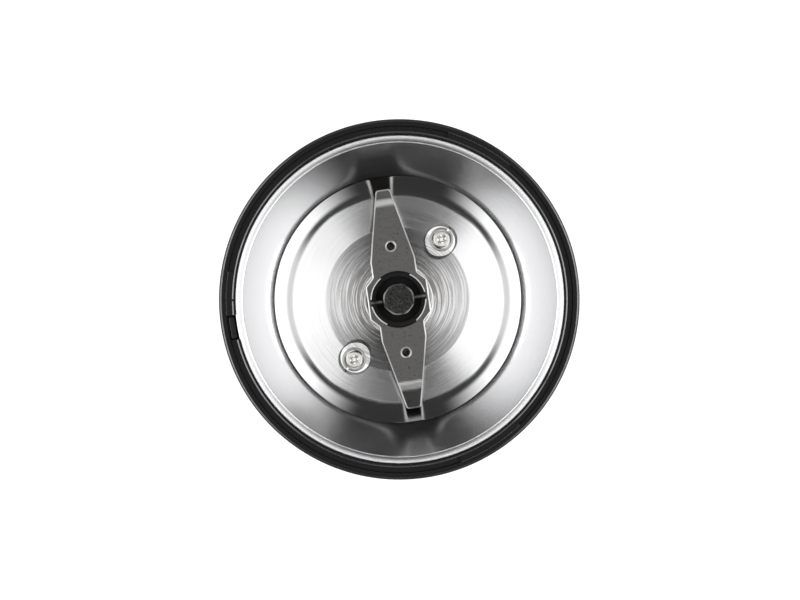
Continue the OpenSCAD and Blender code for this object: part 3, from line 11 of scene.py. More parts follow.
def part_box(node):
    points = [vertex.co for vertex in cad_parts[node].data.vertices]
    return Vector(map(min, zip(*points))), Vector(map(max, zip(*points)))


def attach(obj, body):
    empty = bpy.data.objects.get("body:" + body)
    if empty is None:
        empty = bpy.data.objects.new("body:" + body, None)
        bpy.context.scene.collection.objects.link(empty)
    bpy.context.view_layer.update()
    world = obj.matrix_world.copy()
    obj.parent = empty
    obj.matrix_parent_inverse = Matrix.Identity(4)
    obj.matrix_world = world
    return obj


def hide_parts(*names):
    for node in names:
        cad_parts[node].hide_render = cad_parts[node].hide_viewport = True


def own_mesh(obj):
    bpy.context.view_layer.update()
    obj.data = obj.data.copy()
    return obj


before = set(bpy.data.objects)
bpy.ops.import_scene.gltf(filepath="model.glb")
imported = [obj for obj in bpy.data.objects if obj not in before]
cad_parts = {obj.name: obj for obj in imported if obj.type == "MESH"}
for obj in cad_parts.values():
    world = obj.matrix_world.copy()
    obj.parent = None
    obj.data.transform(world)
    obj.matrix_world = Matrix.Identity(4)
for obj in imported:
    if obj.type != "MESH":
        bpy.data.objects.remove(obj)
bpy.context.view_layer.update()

# Sizes in millimetres, and angles in degrees or turned to radians where they are set. What the frame gives
# is read from it. The rest is as in the part's source, apart from finer edges, the roll of the cup's lip and
# wider screw seats.
MM = 0.001

# Points nearer than this, in metres, are one point
WELD = 1e-7


def box_mm(name):
    """Lowest and highest corner of a CAD node, in millimetres."""
    low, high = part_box(name)
    return Vector(low) / MM, Vector(high) / MM


# Cutting tools pass the face that they cut, and overlap the room that they meet
PAST = 1.0
CUT_IN = 0.1

# Body
shell_low, shell_high = box_mm("body_shell")
RIM_Z = shell_high.z
SEAT_Z = shell_low.z
FOOT_R = shell_high.x
BODY_FLARE = 0.5
BODY_R = FOOT_R - BODY_FLARE
SHELL_WALL = 2.4
ROOT = 0.3
SHELF_T = 2.4
SHELF_EDGE_R = 0.7
FOOT_EDGE_R = 0.4
BODY_STEPS = 240

# Lid seat
SHELF_Z = RIM_Z - 7.0
SHELF_UNDER_Z = SHELF_Z - SHELF_T
SHELF_WEAR_GLINT_R = BODY_R - 0.7 * SHELF_EDGE_R
GROOVE_Z = SHELF_Z - 0.7
COLLAR_R = BODY_R - 3.6
COLLAR_IN_R = COLLAR_R - 1.8
COLLAR_EDGE_R = 0.3
COLLAR_WEAR_GLINT_R = COLLAR_R - COLLAR_EDGE_R / 2
LIP_SEAT_R = COLLAR_R - 0.75
GROOVE_R = COLLAR_R + 1.75
GROOVE_EDGE_R = 0.15
LUG_R = COLLAR_R + 1.6
LUG_T = 1.8
LUG_TOP_Z = RIM_Z - 1.7
LUG_EDGE_R = 0.3
LUG_SPAN = 23.0
LUG_COUNT = 3
SLOT_R = LUG_R + 0.05
SLOT_MID = 279.65
SLOT_SPAN = 8.7
LUG_IN_SLOT = 0.2
LUG_START = SLOT_MID + SLOT_SPAN / 2 - LUG_IN_SLOT - LUG_SPAN
NOTCH_ANGLE = 270.3
NOTCH_W = 0.5
NOTCH_D = 0.6

# Room for the lid's key behind its slot, and the pocket of the switch under it
LOCK_TURN = Matrix.Rotation(math.radians(SLOT_MID - 270), 4, "Z")
SLOT_W = 2 * LIP_SEAT_R * math.sin(math.radians(SLOT_SPAN / 2))
PASSAGE_W = SLOT_W - 0.2
PASSAGE_R = LIP_SEAT_R + 0.1
KEY_ROOM_R = 43.45
FOOT_ROOM_W = SLOT_W + 3.1
FOOT_ROOM_Z = 104.7
POCKET_W = 13.0
POCKET_Z = 93.05
POCKET_TOP_Z = 101.05
POCKET_T = 1.4
POCKET_PLAY = 0.1
POCKET_RIB_R = 38.8
LEDGE_R = 39.5

# Cup. Its lip rolls gently inwards to a tilt, and then turns tightly down into the wall.
cup_top = box_mm("grinding_cup")[1]
CUP_T = 0.8
LIP_Z = cup_top.z
LIP_R = cup_top.x
LIP_W = 1.0
LIP_BEND_R = 0.2
LIP_ROLL_R = 5.0
LIP_TILT = 14.0
LIP_TURN_R = 0.4
LIP_EDGE_R = 0.25
FLOOR_R = LIP_R - 13.9
FLOOR_Z = LIP_Z - 32.3
FLOOR_SLOPE = math.radians(6.0)
DISH_R = 17.8
DISH_RISE = math.radians(22.0)
CORNER_R = 0.4
DOME_R = 18.8
DOME_Z = FLOOR_Z - (FLOOR_R - DOME_R) * math.tan(FLOOR_SLOPE)
DOME_SLOPE = math.radians(9.0)
SEAL_FLAT_R = 9.5
SEAL_Z = DOME_Z + (DOME_R - SEAL_FLAT_R) * math.tan(DOME_SLOPE)
SEAL_NECK_R = 5.55
CREASE_HALF = 0.2
CUP_STEPS = 240

# Cup screws, their seats and their washers
SCREW_AT = 19.4
SCREW_ANGLE = 144.0
SCREW_SEAT_R = 3.9
SCREW_SEAT_Z = DOME_Z - 0.3
SEAT_SHIFT = 0.6
SINK_H = 2.0
SCREW_HOLE_R = 1.85
WASHER_R = 3.15
WASHER_IN_R = 1.55
WASHER_T = 0.7
WASHER_EDGE_R = 0.12
WASHER_SPLIT = 0.5

# What all screws share: thread, plain shank and chamfer under the head, and turned rings and recess on it
THREAD_D = 0.25
THREAD_END = 0.4
SHANK = 1.0
HEAD_CHAMFER = 0.15
RING_D = 0.12
RING_W = 0.24
RING_INSETS = (0.1, 0.45)
RECESS_TAPER = 0.4

# Blade and hub
BLADE_T = 1.5
BLADE_Z = FLOOR_Z + 8.0
BLADE_TURN = math.radians(188.3 - 90.0)
WING_REACH = FLOOR_R + 1.2
WING_TIP_W = 3.7
WING_ROOT_W = 11.6
TAPER_START = 10.4
PLATE_NECK = 6.4
PLATE_W = 15.9
PLATE_L = 8.5
RISE_START = WING_REACH - 4.8
RISE_ANGLE = math.radians(42.0)
FALL_START = WING_REACH - 7.4
FALL_ANGLE = math.radians(23.0)
TIP_BEND_R = 3.0
BEND_STEP = 0.2
RISE_STEPS = 18
FALL_STEPS = 12
BORE_R = 6.9
BORE_EDGE = 0.3
BORE_DEPTH = 0.09
KEYWAY_W = 1.8
KEYWAY_REACH = 7.2
WING_HOLE_R = 1.05
WING_HOLE_AT = 13.8
WING_HOLE_EDGE = 0.4
BLADE_EDGE = 0.32
BLADE_CORNER_R = 0.8
POST_R = 4.1
POST_EDGE = 0.5
POST_TOP_Z = BLADE_Z + BLADE_T + 5.0

# Start button, and how far it and the lid's key go in
button_low, button_high = box_mm("start_button")
holder_low = box_mm("switch_holder")[0]
BUTTON_Z = RIM_Z - 46.0
BUTTON_W = 14.0
BUTTON_H = 22.0
BUTTON_GAP = 0.35
BUTTON_FACE_R = -button_low.y
BUTTON_EDGE_R = 0.9
BUTTON_EDGE_STEPS = 6
BUTTON_FACE_STEPS = 12
BUTTON_MIDDLE = 0.02
DIMPLE_D = 0.8
DIMPLE_R = 30.0
DIMPLE_BLEND = 0.15
FLANGE_LAP = 1.6
FLANGE_BACK_Y = holder_low.y - 5.4
FLANGE_Y = FLANGE_BACK_Y - 1.5
STEM_R = 2.8
HOLDER_POST_R = 2.6
HOLDER_POST_X = 12.5
HOLDER_POST_Y = -42.63
HOLDER_PILOT_R = 1.15
HOLDER_PILOT_Y = -39.85

# Base
RUBBER_AT = FOOT_R - 10.0
RUBBER_R = 5.0
RUBBER_TOP_Z = 2.5
RUBBER_EDGE_R = 0.6
RUBBER_DIMPLE_R = 2.6
RUBBER_DIMPLE_EDGE = 0.3
RUBBER_DIMPLE_D = 0.25
BASE_SCREW_COUNT = 3
BASE_SCREW_AT = FOOT_R - SHELL_WALL - 6.0
BASE_SCREW_ANGLE = 270.0
BASE_HEAD_Z = 1.8
BASE_HEAD_H = 2.0
PILLAR_R = 3.8
PILLAR_Z = SEAT_Z + 3.0
PILLAR_TOP_Z = 18.0
PILOT_R = 1.5
PILOT_TOP_Z = 16.15

# Cord inlet
inlet_low, inlet_high = box_mm("cord_inlet")
INLET_Z = (inlet_low.z + inlet_high.z) / 2
INLET_SEAT_R = (inlet_high.z - inlet_low.z) / 2 + 0.05
INLET_SEAT_Y = inlet_high.y - 1.2
INLET_HOLE_R = 5.05
INLET_PAD_R = 8.0
INLET_PAD_Y = INLET_SEAT_Y - 3.6


def outer_r(z):
    """Outer radius of the body at a level."""
    return BODY_R + BODY_FLARE * (SHELF_Z - z) / (SHELF_Z - SEAT_Z)


# Small tools
def linear(code):
    """An sRGB hex colour as linear red, green, blue and alpha."""
    parts = [int(code[i:i + 2], 16) / 255 for i in (1, 3, 5)]
    return [p / 12.92 if p <= 0.04045 else ((p + 0.055) / 1.055) ** 2.4 for p in parts] + [1.0]


def add(tree, kind, inputs=(), out=0, **settings):
    """Adds a node and gives one of its outputs. Inputs are values or sockets, in the order of the node's own
    sockets or by their keys, and settings are its properties. A kind without a family is a shader node's."""
    made = tree.nodes.new(kind if "Node" in kind else "ShaderNode" + kind)
    for name, value in settings.items():
        setattr(made, name, value)
    for key, value in inputs.items() if isinstance(inputs, dict) else enumerate(inputs):
        if isinstance(value, bpy.types.NodeSocket):
            tree.links.new(value, made.inputs[key])
        else:
            made.inputs[key].default_value = value
    return made.outputs[out] if made.outputs else None


def arc(centre, radius, start, end, steps=8):
    """Points of an arc, between two angles in degrees."""
    turns = [math.radians(start + (end - start) * i / steps) for i in range(steps + 1)]
    return [(centre[0] + radius * math.cos(t), centre[1] + radius * math.sin(t)) for t in turns]


def circle(radius, steps):
    """Points of a circle round the origin."""
    return arc((0, 0), radius, 0, 360, steps)[:-1]


def rounded(outline, radius, steps=5):
    """A closed outline with its corners rounded."""
    points = []
    for i, corner in enumerate(outline):
        here = Vector(corner)
        back = (Vector(outline[i - 1]) - here).normalized()
        ahead = (Vector(outline[(i + 1) % len(outline)]) - here).normalized()
        half = back.angle(ahead) / 2
        reach = radius / math.tan(half)
        middle = here + (back + ahead).normalized() * radius / math.sin(half)
        first = here + back * reach - middle
        last = here + ahead * reach - middle
        for k in range(steps + 1):
            points.append(tuple(middle + radius * first.slerp(last, k / steps)))
    return points


def inset(outline, distance):
    """A closed outline, drawn counterclockwise, moved inwards by a distance."""
    points = []
    for i, corner in enumerate(outline):
        here = Vector(corner)
        came = (here - Vector(outline[i - 1])).normalized()
        goes = (Vector(outline[(i + 1) % len(outline)]) - here).normalized()
        side = Vector((-came.y - goes.y, came.x + goes.x)).normalized()
        points.append(tuple(here + side * distance / side.dot(Vector((-came.y, came.x)))))
    return points


def stadium(width, height, steps=16):
    """Outline of an upright slot with round ends."""
    half = width / 2
    top = arc((0, height / 2 - half), half, 0, 180, steps)
    return top + arc((0, half - height / 2), half, 180, 360, steps)


def new_object(name, data):
    obj = bpy.data.objects.new(name, data)
    bpy.context.scene.collection.objects.link(obj)
    return obj


def from_bmesh(name, shape, material=None):
    """An object made of a bmesh in millimetres, with its faces outwards."""
    bmesh.ops.scale(shape, vec=(MM, MM, MM), verts=shape.verts)
    bmesh.ops.recalc_face_normals(shape, faces=shape.faces)
    mesh = bpy.data.meshes.new(name)
    shape.to_mesh(mesh)
    shape.free()
    if material:
        mesh.materials.append(material)
    return new_object(name, mesh)


def settle(obj):
    """Turns a piece and its modifiers into a plain mesh."""
    seen = obj.evaluated_get(bpy.context.evaluated_depsgraph_get())
    mesh = bpy.data.meshes.new_from_object(seen)
    obj.modifiers.clear()
    old = obj.data
    obj.data = mesh
    bpy.data.meshes.remove(old)
    return obj


def loft(name, loops, turn=Matrix.Identity(4), material=None):
    """A closed piece through loops of points, each with a vertex for each of the next, and then turned."""
    shape = bmesh.new()
    rows = [[shape.verts.new(point) for point in loop] for loop in loops]
    for one, two in zip(rows, rows[1:]):
        for i in range(len(one)):
            k = (i + 1) % len(one)
            shape.faces.new((one[i], one[k], two[k], two[i]))
    shape.faces.new(rows[0][::-1])
    shape.faces.new(rows[-1])
    bmesh.ops.transform(shape, matrix=turn, verts=shape.verts)
    return from_bmesh(name, shape, material)


def prism(name, outline, low, high, turn=Matrix.Identity(4)):
    """A closed outline drawn out from one level to another, and then turned or moved."""
    return loft(name, [[(x, y, z) for x, y in outline] for z in (low, high)], turn)


def bar_y(name, x, z, radius, low, high):
    """A round bar along +Y."""
    turn = Matrix.Translation((x, 0, z)) @ Matrix.Rotation(math.radians(-90), 4, "X")
    return prism(name, circle(radius, 48), low, high, turn)


def carve(obj, operation, *tools):
    """Joins tools to a piece (UNION) or cuts them out of it (DIFFERENCE), all in the piece's one finish."""
    for tool in tools:
        change = obj.modifiers.new(tool.name, "BOOLEAN")
        change.operation = operation
        change.solver = "EXACT"
        change.object = tool
    settle(obj)
    for tool in tools:
        bpy.data.objects.remove(tool)
    finish = next(filter(None, obj.data.materials), None)
    obj.data.materials.clear()
    if finish:
        obj.data.materials.append(finish)
    return obj


def smooth(obj, angle=30.0):
    """Shades a piece smooth, with edges sharper than an angle kept, and its large faces true."""
    obj.data.shade_smooth()
    obj.data.set_sharp_from_angle(angle=math.radians(angle))
    change = obj.modifiers.new("true_faces", "WEIGHTED_NORMAL")
    change.keep_sharp = True
    return settle(obj)


def placed(obj, matrix):
    """Moves a piece's mesh, in millimetres, and leaves its object at the origin."""
    obj.data.transform(Matrix.Scale(MM, 4) @ matrix @ Matrix.Scale(1 / MM, 4))
    return obj


def dress(obj, body, slot, *nodes):
    """A finished piece rides on its body and stands for its CAD nodes."""
    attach(obj, body)
    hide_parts(*nodes)


# Geometry node trees
def new_tree(name, **sockets):
    """A geometry tree with a piece and some named sizes going in, and a piece coming out."""
    tree = bpy.data.node_groups.new(name, "GeometryNodeTree")
    tree.interface.new_socket("Geometry", in_out="INPUT", socket_type="NodeSocketGeometry")
    for label, kind in sockets.items():
        tree.interface.new_socket(label, in_out="INPUT", socket_type="NodeSocket" + kind)
    tree.interface.new_socket("Geometry", in_out="OUTPUT", socket_type="NodeSocketGeometry")
    return tree, partial(add, tree), tree.nodes.new("NodeGroupInput").outputs


def end_tree(tree, geometry, material):
    """The end that every tree has: realised instances with their material."""
    real = add(tree, "GeometryNodeRealizeInstances", {"Geometry": geometry})
    coated = add(tree, "GeometryNodeSetMaterial", {"Geometry": real, "Material": material})
    add(tree, "NodeGroupOutput", {"Geometry": coated})
    return tree


def turning_tree():
    """Turns the points of a section round the Z axis: a grid with a column for each step."""
    tree, node, given = new_tree(
        "turning", Steps="Int", Start="Float", Span="Float", Closed="Int", Material="Material",
    )
    section = given["Geometry"]
    steps = given["Steps"]
    count = node("GeometryNodeAttributeDomainSize", {"Geometry": section}, "Point Count")
    rows = node("Math", (count, given["Closed"]), operation="ADD")
    columns = node("Math", (steps, 1.0), operation="ADD")
    grid = node("GeometryNodeMeshGrid", {"Vertices X": columns, "Vertices Y": rows})
    # The grid counts its points column by column. The last row of a closed section is its first point again.
    index = node("GeometryNodeInputIndex")
    row = node("Math", (index, rows), operation="MODULO")
    source = node("Math", (row, count), operation="MODULO")
    ahead = node("Math", (index, 0.5), operation="ADD")
    share = node("Math", (ahead, rows), operation="DIVIDE")
    column = node("Math", (share,), operation="FLOOR")
    part = node("Math", (column, steps), operation="DIVIDE")
    angle = node("Math", (part, given["Span"], given["Start"]), operation="MULTIPLY_ADD")
    point = node(
        "GeometryNodeSampleIndex",
        {"Geometry": section, "Value": node("GeometryNodeInputPosition"), "Index": source},
        data_type="FLOAT_VECTOR", domain="POINT",
    )
    place = node("VectorRotate", {"Vector": point, "Angle": angle}, rotation_type="Z_AXIS")
    laid = node("GeometryNodeSetPosition", {"Geometry": grid, "Position": place})
    closed = node("GeometryNodeMergeByDistance", {"Geometry": laid, "Distance": WELD})
    return end_tree(tree, closed, given["Material"])


def ring_tree():
    """Sets copies of a piece round the Z axis, each turned with its place."""
    tree, node, given = new_tree("ring", Count="Int", Radius="Float", Start="Float", Material="Material")
    points = node("GeometryNodePoints", {"Count": given["Count"]})
    part = node("Math", (node("GeometryNodeInputIndex"), given["Count"]), operation="DIVIDE")
    angle = node("Math", (part, math.tau, given["Start"]), operation="MULTIPLY_ADD")
    out = node("CombineXYZ", {"X": given["Radius"]})
    place = node("VectorRotate", {"Vector": out, "Angle": angle}, rotation_type="Z_AXIS")
    laid = node("GeometryNodeSetPosition", {"Geometry": points, "Position": place})
    turn = node("FunctionNodeEulerToRotation", {"Euler": node("CombineXYZ", {"Z": angle})})
    copies = node(
        "GeometryNodeInstanceOnPoints", {"Points": laid, "Instance": given["Geometry"], "Rotation": turn},
    )
    return end_tree(tree, copies, given["Material"])


TURNING = turning_tree()
RING = ring_tree()


def shape_by(obj, tree, **values):
    """Runs a tree on a piece with these sizes, and keeps the result as a plain mesh."""
    change = obj.modifiers.new(tree.name, "NODES")
    change.node_group = tree
    for item in tree.interface.items_tree:
        if item.in_out == "INPUT" and item.name in values:
            change[item.identifier] = values[item.name]
    return settle(obj)


def turned(name, section, material, steps, start=0.0, span=360.0, closed=True):
    """A piece turned from a section of (radius, height) points, whose open ends are then filled."""
    mesh = bpy.data.meshes.new(name)
    mesh.from_pydata([(r * MM, 0, z * MM) for r, z in section], [], [])
    obj = shape_by(
        new_object(name, mesh), TURNING, Steps=steps, Start=math.radians(start),
        Span=math.radians(span), Closed=int(closed), Material=material,
    )
    shape = bmesh.new()
    shape.from_mesh(obj.data)
    bmesh.ops.holes_fill(shape, edges=[e for e in shape.edges if e.is_boundary])
    bmesh.ops.recalc_face_normals(shape, faces=shape.faces)
    shape.to_mesh(obj.data)
    shape.free()
    return obj


def ring_of(obj, material, count, radius, start):
    """Copies of a piece round the axis, as one mesh."""
    return shape_by(obj, RING, Count=count, Radius=radius * MM, Start=math.radians(start), Material=material)


# Finishes. Colours go into sockets 6 and 7 of a Mix node and come out of its output 2.
def new_finish(name, metallic=0.0, **constants):
    """A material with one Principled shader; what is the same all over goes on its own sockets. Gives the
    material, the function that adds a node to it, and the place on the piece."""
    material = bpy.data.materials.new(name)
    material.use_nodes = True
    sockets = material.node_tree.nodes["Principled BSDF"].inputs
    sockets["Metallic"].default_value = metallic
    for label, value in constants.items():
        sockets[label.replace("_", " ")].default_value = value
    node = partial(add, material.node_tree)
    return material, node, node("TexCoord", out="Object")


def finished(material, shade, rough, bump):
    """Links what changes over a piece to the shader."""
    tree = material.node_tree
    for label, socket in (("Base Color", shade), ("Roughness", rough), ("Normal", bump)):
        tree.links.new(socket, tree.nodes["Principled BSDF"].inputs[label])
    return material


def plastic(name, colour, worn, roughness, grain, depth):
    """Moulded plastic or rubber: a grain from the tool, and a faint uneven sheen from handling."""
    material, node, place = new_finish(name, Specular_IOR_Level=0.3)
    skin = node("TexNoise", {"Vector": place, "Scale": 1 / (grain * MM), "Detail": 3.0})
    patch = node("TexNoise", {"Vector": place, "Scale": 1 / (9 * MM), "Detail": 4.0})
    shade = node("Mix", {0: patch, 6: linear(colour), 7: linear(worn)}, 2, data_type="RGBA")
    gloss = node("MapRange", (patch, 0, 1, roughness - 0.07, roughness + 0.07))
    bump = node("Bump", {"Height": skin, "Strength": 0.5, "Distance": depth * MM})
    return finished(material, shade, gloss, bump)


def metal(name, colour, dull, roughness, grain, stretch, depth):
    """Bare metal: marks of its working, drawn out along one direction, and duller patches."""
    material, node, place = new_finish(name, metallic=1.0)
    along = node("Mapping", {"Vector": place, "Scale": stretch})
    mark = node("TexNoise", {"Vector": along, "Scale": 1 / (grain * MM), "Detail": 4.0})
    patch = node("TexNoise", {"Vector": place, "Scale": 1 / (3 * MM), "Detail": 5.0})
    shade = node("Mix", {0: patch, 6: linear(colour), 7: linear(dull)}, 2, data_type="RGBA")
    gloss = node("MapRange", (mark, 0, 1, roughness - 0.1, roughness + 0.1))
    bump = node("Bump", {"Height": mark, "Strength": 0.5, "Distance": depth * MM})
    return finished(material, shade, gloss, bump)


def layered(name, colour, gap, roughness, metallic, pitch):
    """Stacked sheets or wound wire: lines at a pitch up the Z axis, dark between the layers."""
    material, node, place = new_finish(name, metallic)
    height = node("SeparateXYZ", (place,), "Z")
    turns = node("Math", (height, math.tau / (pitch * MM)), operation="MULTIPLY")
    wave = node("Math", (turns,), operation="SINE")
    line = node("MapRange", (wave, -1.0, -0.4))
    patch = node("TexNoise", {"Vector": place, "Scale": 1 / (2 * MM), "Detail": 4.0})
    shade = node("Mix", {0: line, 6: linear(gap), 7: linear(colour)}, 2, data_type="RGBA")
    rough = node("MapRange", (patch, 0, 1, roughness - 0.12, roughness + 0.12))
    bump = node("Bump", {"Height": line, "Strength": 0.6, "Distance": 0.05 * MM})
    return finished(material, shade, rough, bump)


def radial_parts(node, place):
    """Distance from the axis, and the direction away from it, at a place."""
    flat = node("VectorMath", (place, (1, 1, 0)), operation="MULTIPLY")
    radius = node("VectorMath", (flat,), "Value", operation="LENGTH")
    return radius, node("VectorMath", (flat,), operation="NORMALIZE")


def from_ring(node, radius, height, ring_r, ring_z):
    """Distance of a place, given by radius and height, from a ring round the axis."""
    spot = node("CombineXYZ", (radius, height))
    return node("VectorMath", (spot, (ring_r * MM, ring_z * MM, 0)), "Value", operation="DISTANCE")


def spun_stainless():
    """Stainless sheet, drawn into a cup and finished on a lathe with grit: fine rings that smear each light
    outwards, a satin wall, a bright dish round the floor, and coarser scratches in the middle, darkened by
    painted shade towards the hub, in streaks along the coarse scratches."""
    material, node, place = new_finish("stainless_steel_spun", metallic=1.0, Anisotropic=0.6)
    radius, outward = radial_parts(node, place)
    tree = material.node_tree
    tree.links.new(outward, tree.nodes["Principled BSDF"].inputs["Tangent"])
    # Roughness, from the middle of the floor out: each zone starts at a radius and changes it by so much
    fade = 0.2
    level = 0.21
    for edge, change in ((DOME_R, -0.07), (FLOOR_R, -0.06), (wall_foot_r, 0.14), (wall_head_r, 0.02)):
        step = node("MapRange", (radius, (edge - fade) * MM, (edge + fade) * MM, 0, change))
        level = node("Math", (level, step), operation="ADD")
    # Rings: noise that is fine across the radius and long round the axis
    rings = []
    for width, patches in ((0.3, 1.3), (0.14, 2.0)):
        across = node("Math", (radius, width * MM), operation="DIVIDE")
        up = node("CombineXYZ", {"Z": across})
        spot = node("VectorMath", (outward, (patches, patches, 0), up), operation="MULTIPLY_ADD")
        rings.append(node("TexNoise", {"Vector": spot, "Scale": 1.0, "Detail": 3.0}))
    coarse, fine = rings
    middle = node("MapRange", (radius, (DOME_R - 2 * fade) * MM, (DOME_R + fade) * MM, 1, 0))
    scratched = node("Mix", {0: middle, 2: fine, 3: coarse})
    depth = node("MapRange", (middle, 0, 1, 0.25, 1.0))
    bump = node("Bump", {"Height": scratched, "Strength": depth, "Distance": 0.02 * MM})
    haze = node("MapRange", (scratched, 0, 1, -0.04, 0.04))
    rough = node("Math", (level, haze), operation="ADD")
    clean = node("Mix", {0: scratched, 6: linear("#D6D6D7"), 7: linear("#EDEDEE")}, 2, data_type="RGBA")
    # Painted shade: the dome is mixed towards a dark brown grey near the hub, in streaks along the coarse
    # scratches
    hub_shade = node("MapRange", (radius, SEAL_FLAT_R * MM, DOME_R * MM, 0.9, 0.35))
    streak = node("MapRange", (coarse, 0.36, 0.56))
    for share in (streak, middle):
        hub_shade = node("Math", (hub_shade, share), operation="MULTIPLY")
    shade = node("Mix", {0: hub_shade, 6: clean, 7: linear("#6B6864")}, 2, data_type="RGBA")
    return finished(material, shade, rough, bump)


def black_abs():
    """Gloss black ABS from a polished tool: deep black with a slight orange peel, hairline scuffs, and the
    outer edges of shelf and collar pale grey, partly worn by the lid and partly a painted highlight, most
    towards the lamps at the front and the back."""
    material, node, place = new_finish("abs_gloss_black", Specular_IOR_Level=0.2)
    radius, outward = radial_parts(node, place)
    height = node("SeparateXYZ", (place,), "Z")
    # Painted highlight, partly also wear: the outer edges of shelf and collar are mixed to pale grey, most at
    # the front and back, which face the lamps
    shelf = from_ring(node, radius, height, SHELF_WEAR_GLINT_R, SHELF_Z)
    collar = from_ring(node, radius, height, COLLAR_WEAR_GLINT_R, RIM_Z)
    nearest = node("Math", (shelf, collar), operation="MINIMUM")
    worn = node("MapRange", (nearest, 0.1 * MM, 0.26 * MM, 1, 0))
    patchy = node("TexNoise", {"Vector": place, "Scale": 1 / (14 * MM), "Detail": 6.0})
    patchy = node("MapRange", (patchy, 0.25, 0.5))
    front = node("Math", (node("SeparateXYZ", (outward,), "Y"),), operation="ABSOLUTE")
    front = node("MapRange", (front, 0.55, 0.95, 0.12))
    for share in (patchy, front):
        worn = node("Math", (worn, share), operation="MULTIPLY")
    shade = node("Mix", {0: worn, 6: linear("#08080A"), 7: linear("#929294")}, 2, data_type="RGBA")
    # Hairline scuffs, drawn a few times wider than real ones so that they show
    along = node("Mapping", {"Vector": place, "Scale": (1, 1, 0.15), "Rotation": (0.5, 0.3, 0)})
    hair = node("TexNoise", {"Vector": along, "Scale": 1 / (0.5 * MM), "Detail": 5.0})
    gloss = node("MapRange", (hair, 0, 1, 0.16, 0.36))
    peel = node("TexNoise", {"Vector": place, "Scale": 1 / (2.2 * MM), "Detail": 2.0})
    bump = node("Bump", {"Height": peel, "Strength": 0.3, "Distance": 0.02 * MM})
    return finished(material, shade, gloss, bump)


def ground_stainless():
    """Hardened stainless strip, stamped and belt ground along its length: satin mid grey with lengthwise
    hairlines and small dark specks, with painted highlights on the chamfered edges and on a band at each
    bend, and painted shade underneath."""
    material, node, place = new_finish("stainless_steel_ground", metallic=1.0)
    along = node("Mapping", {"Vector": place, "Rotation": (0, 0, -BLADE_TURN)})
    drawn = node("Mapping", {"Vector": place, "Rotation": (0, 0, -BLADE_TURN), "Scale": (1, 0.06, 1)})
    hair = node("TexNoise", {"Vector": drawn, "Scale": 1 / (0.25 * MM), "Detail": 4.0})
    speck = node("TexNoise", {"Vector": place, "Scale": 1 / (0.6 * MM), "Detail": 5.0})
    dark = node("MapRange", (speck, 0.58, 0.72, 0, 0.7))
    tone = node("Mix", {0: hair, 6: linear("#5C5B5A"), 7: linear("#7A7978")}, 2, data_type="RGBA")
    clear = node("Mix", {0: dark, 6: tone, 7: linear("#403F3C")}, 2, data_type="RGBA")
    # Painted highlights: on the chamfers, which the mesh marks, and on a band at each bend, with a ragged end
    # at the tip that goes down
    bright = node("Attribute", out="Fac", attribute_name="chamfer")
    length = node("SeparateXYZ", (along,), "Y")
    ragged = node("MapRange", (hair, 0, 1, -0.7 * MM, 0.7 * MM))
    spread = node("Math", (length, ragged), operation="ADD")
    for at, middle, half in ((length, RISE_START + 1.5, 0.9), (spread, -FALL_START - 1.4, 1.1)):
        away = node("Math", (at, middle * MM), operation="SUBTRACT")
        away = node("Math", (away,), operation="ABSOLUTE")
        band = node("MapRange", (away, (half - 0.4) * MM, (half + 0.3) * MM, 1, 0))
        bright = node("Math", (bright, band), operation="MAXIMUM")
    face = node("Mix", {0: bright, 6: clear, 7: linear("#F2F1EE")}, 2, data_type="RGBA")
    # Painted shade: the underside of the blade is mixed to a dark brown grey
    under = node("Attribute", out="Fac", attribute_name="underside")
    shade = node("Mix", {0: under, 6: face, 7: linear("#2E2C2A")}, 2, data_type="RGBA")
    rough = node("MapRange", (hair, 0, 1, 0.34, 0.5))
    bump = node("Bump", {"Height": hair, "Strength": 0.4, "Distance": 0.01 * MM})
    return finished(material, shade, rough, bump)


def dusty_nylon():
    """Black glass-filled nylon: dull, slightly rough, with pale coffee and glass specks on the worn top of
    the post, and a patchy painted highlight on its edge and along the ribs."""
    material, node, place = new_finish("nylon_glass_filled", Specular_IOR_Level=0.25)
    radius = radial_parts(node, place)[0]
    height = node("SeparateXYZ", (place,), "Z")
    speck = node("TexNoise", {"Vector": place, "Scale": 1 / (0.35 * MM), "Detail": 4.0})
    top = node("MapRange", (height, (POST_TOP_Z - 0.8) * MM, (POST_TOP_Z - 0.1) * MM))
    pale = node("MapRange", (speck, 0.4, 0.75))
    dust = node("Math", (pale, top), operation="MULTIPLY")
    dusty = node("Mix", {0: dust, 6: linear("#0D0D0D"), 7: linear("#4C4B49")}, 2, data_type="RGBA")
    # Painted highlight: a thin pale ring at the post's top edge and pale lines along the tops of the ribs, in
    # patches
    away = from_ring(node, radius, height, POST_R - POST_EDGE / 2, POST_TOP_Z - POST_EDGE / 2)
    edge = node("MapRange", (away, 0.15 * MM, 0.4 * MM, 1, 0))
    along = node("Mapping", {"Vector": place, "Rotation": (0, 0, -BLADE_TURN)})
    off_rib = node("Math", (node("SeparateXYZ", (along,), "Y"),), operation="ABSOLUTE")
    rib = node("MapRange", (off_rib, 0.1 * MM, 0.4 * MM, 0.8, 0))
    past_post = node("Math", (radius, (POST_R + 0.1) * MM), operation="GREATER_THAN")
    rib = node("Math", (rib, past_post), operation="MULTIPLY")
    edge_glint = node("Math", (edge, rib), operation="MAXIMUM")
    uneven = node("TexNoise", {"Vector": place, "Scale": 1 / (2.5 * MM), "Detail": 3.0})
    uneven = node("MapRange", (uneven, 0.35, 0.6))
    edge_glint = node("Math", (edge_glint, uneven), operation="MULTIPLY")
    shade = node("Mix", {0: edge_glint, 6: dusty, 7: linear("#A09E9A")}, 2, data_type="RGBA")
    rough = node("MapRange", (speck, 0, 1, 0.4, 0.65))
    bump = node("Bump", {"Height": speck, "Strength": 0.6, "Distance": 0.05 * MM})
    return finished(material, shade, rough, bump)


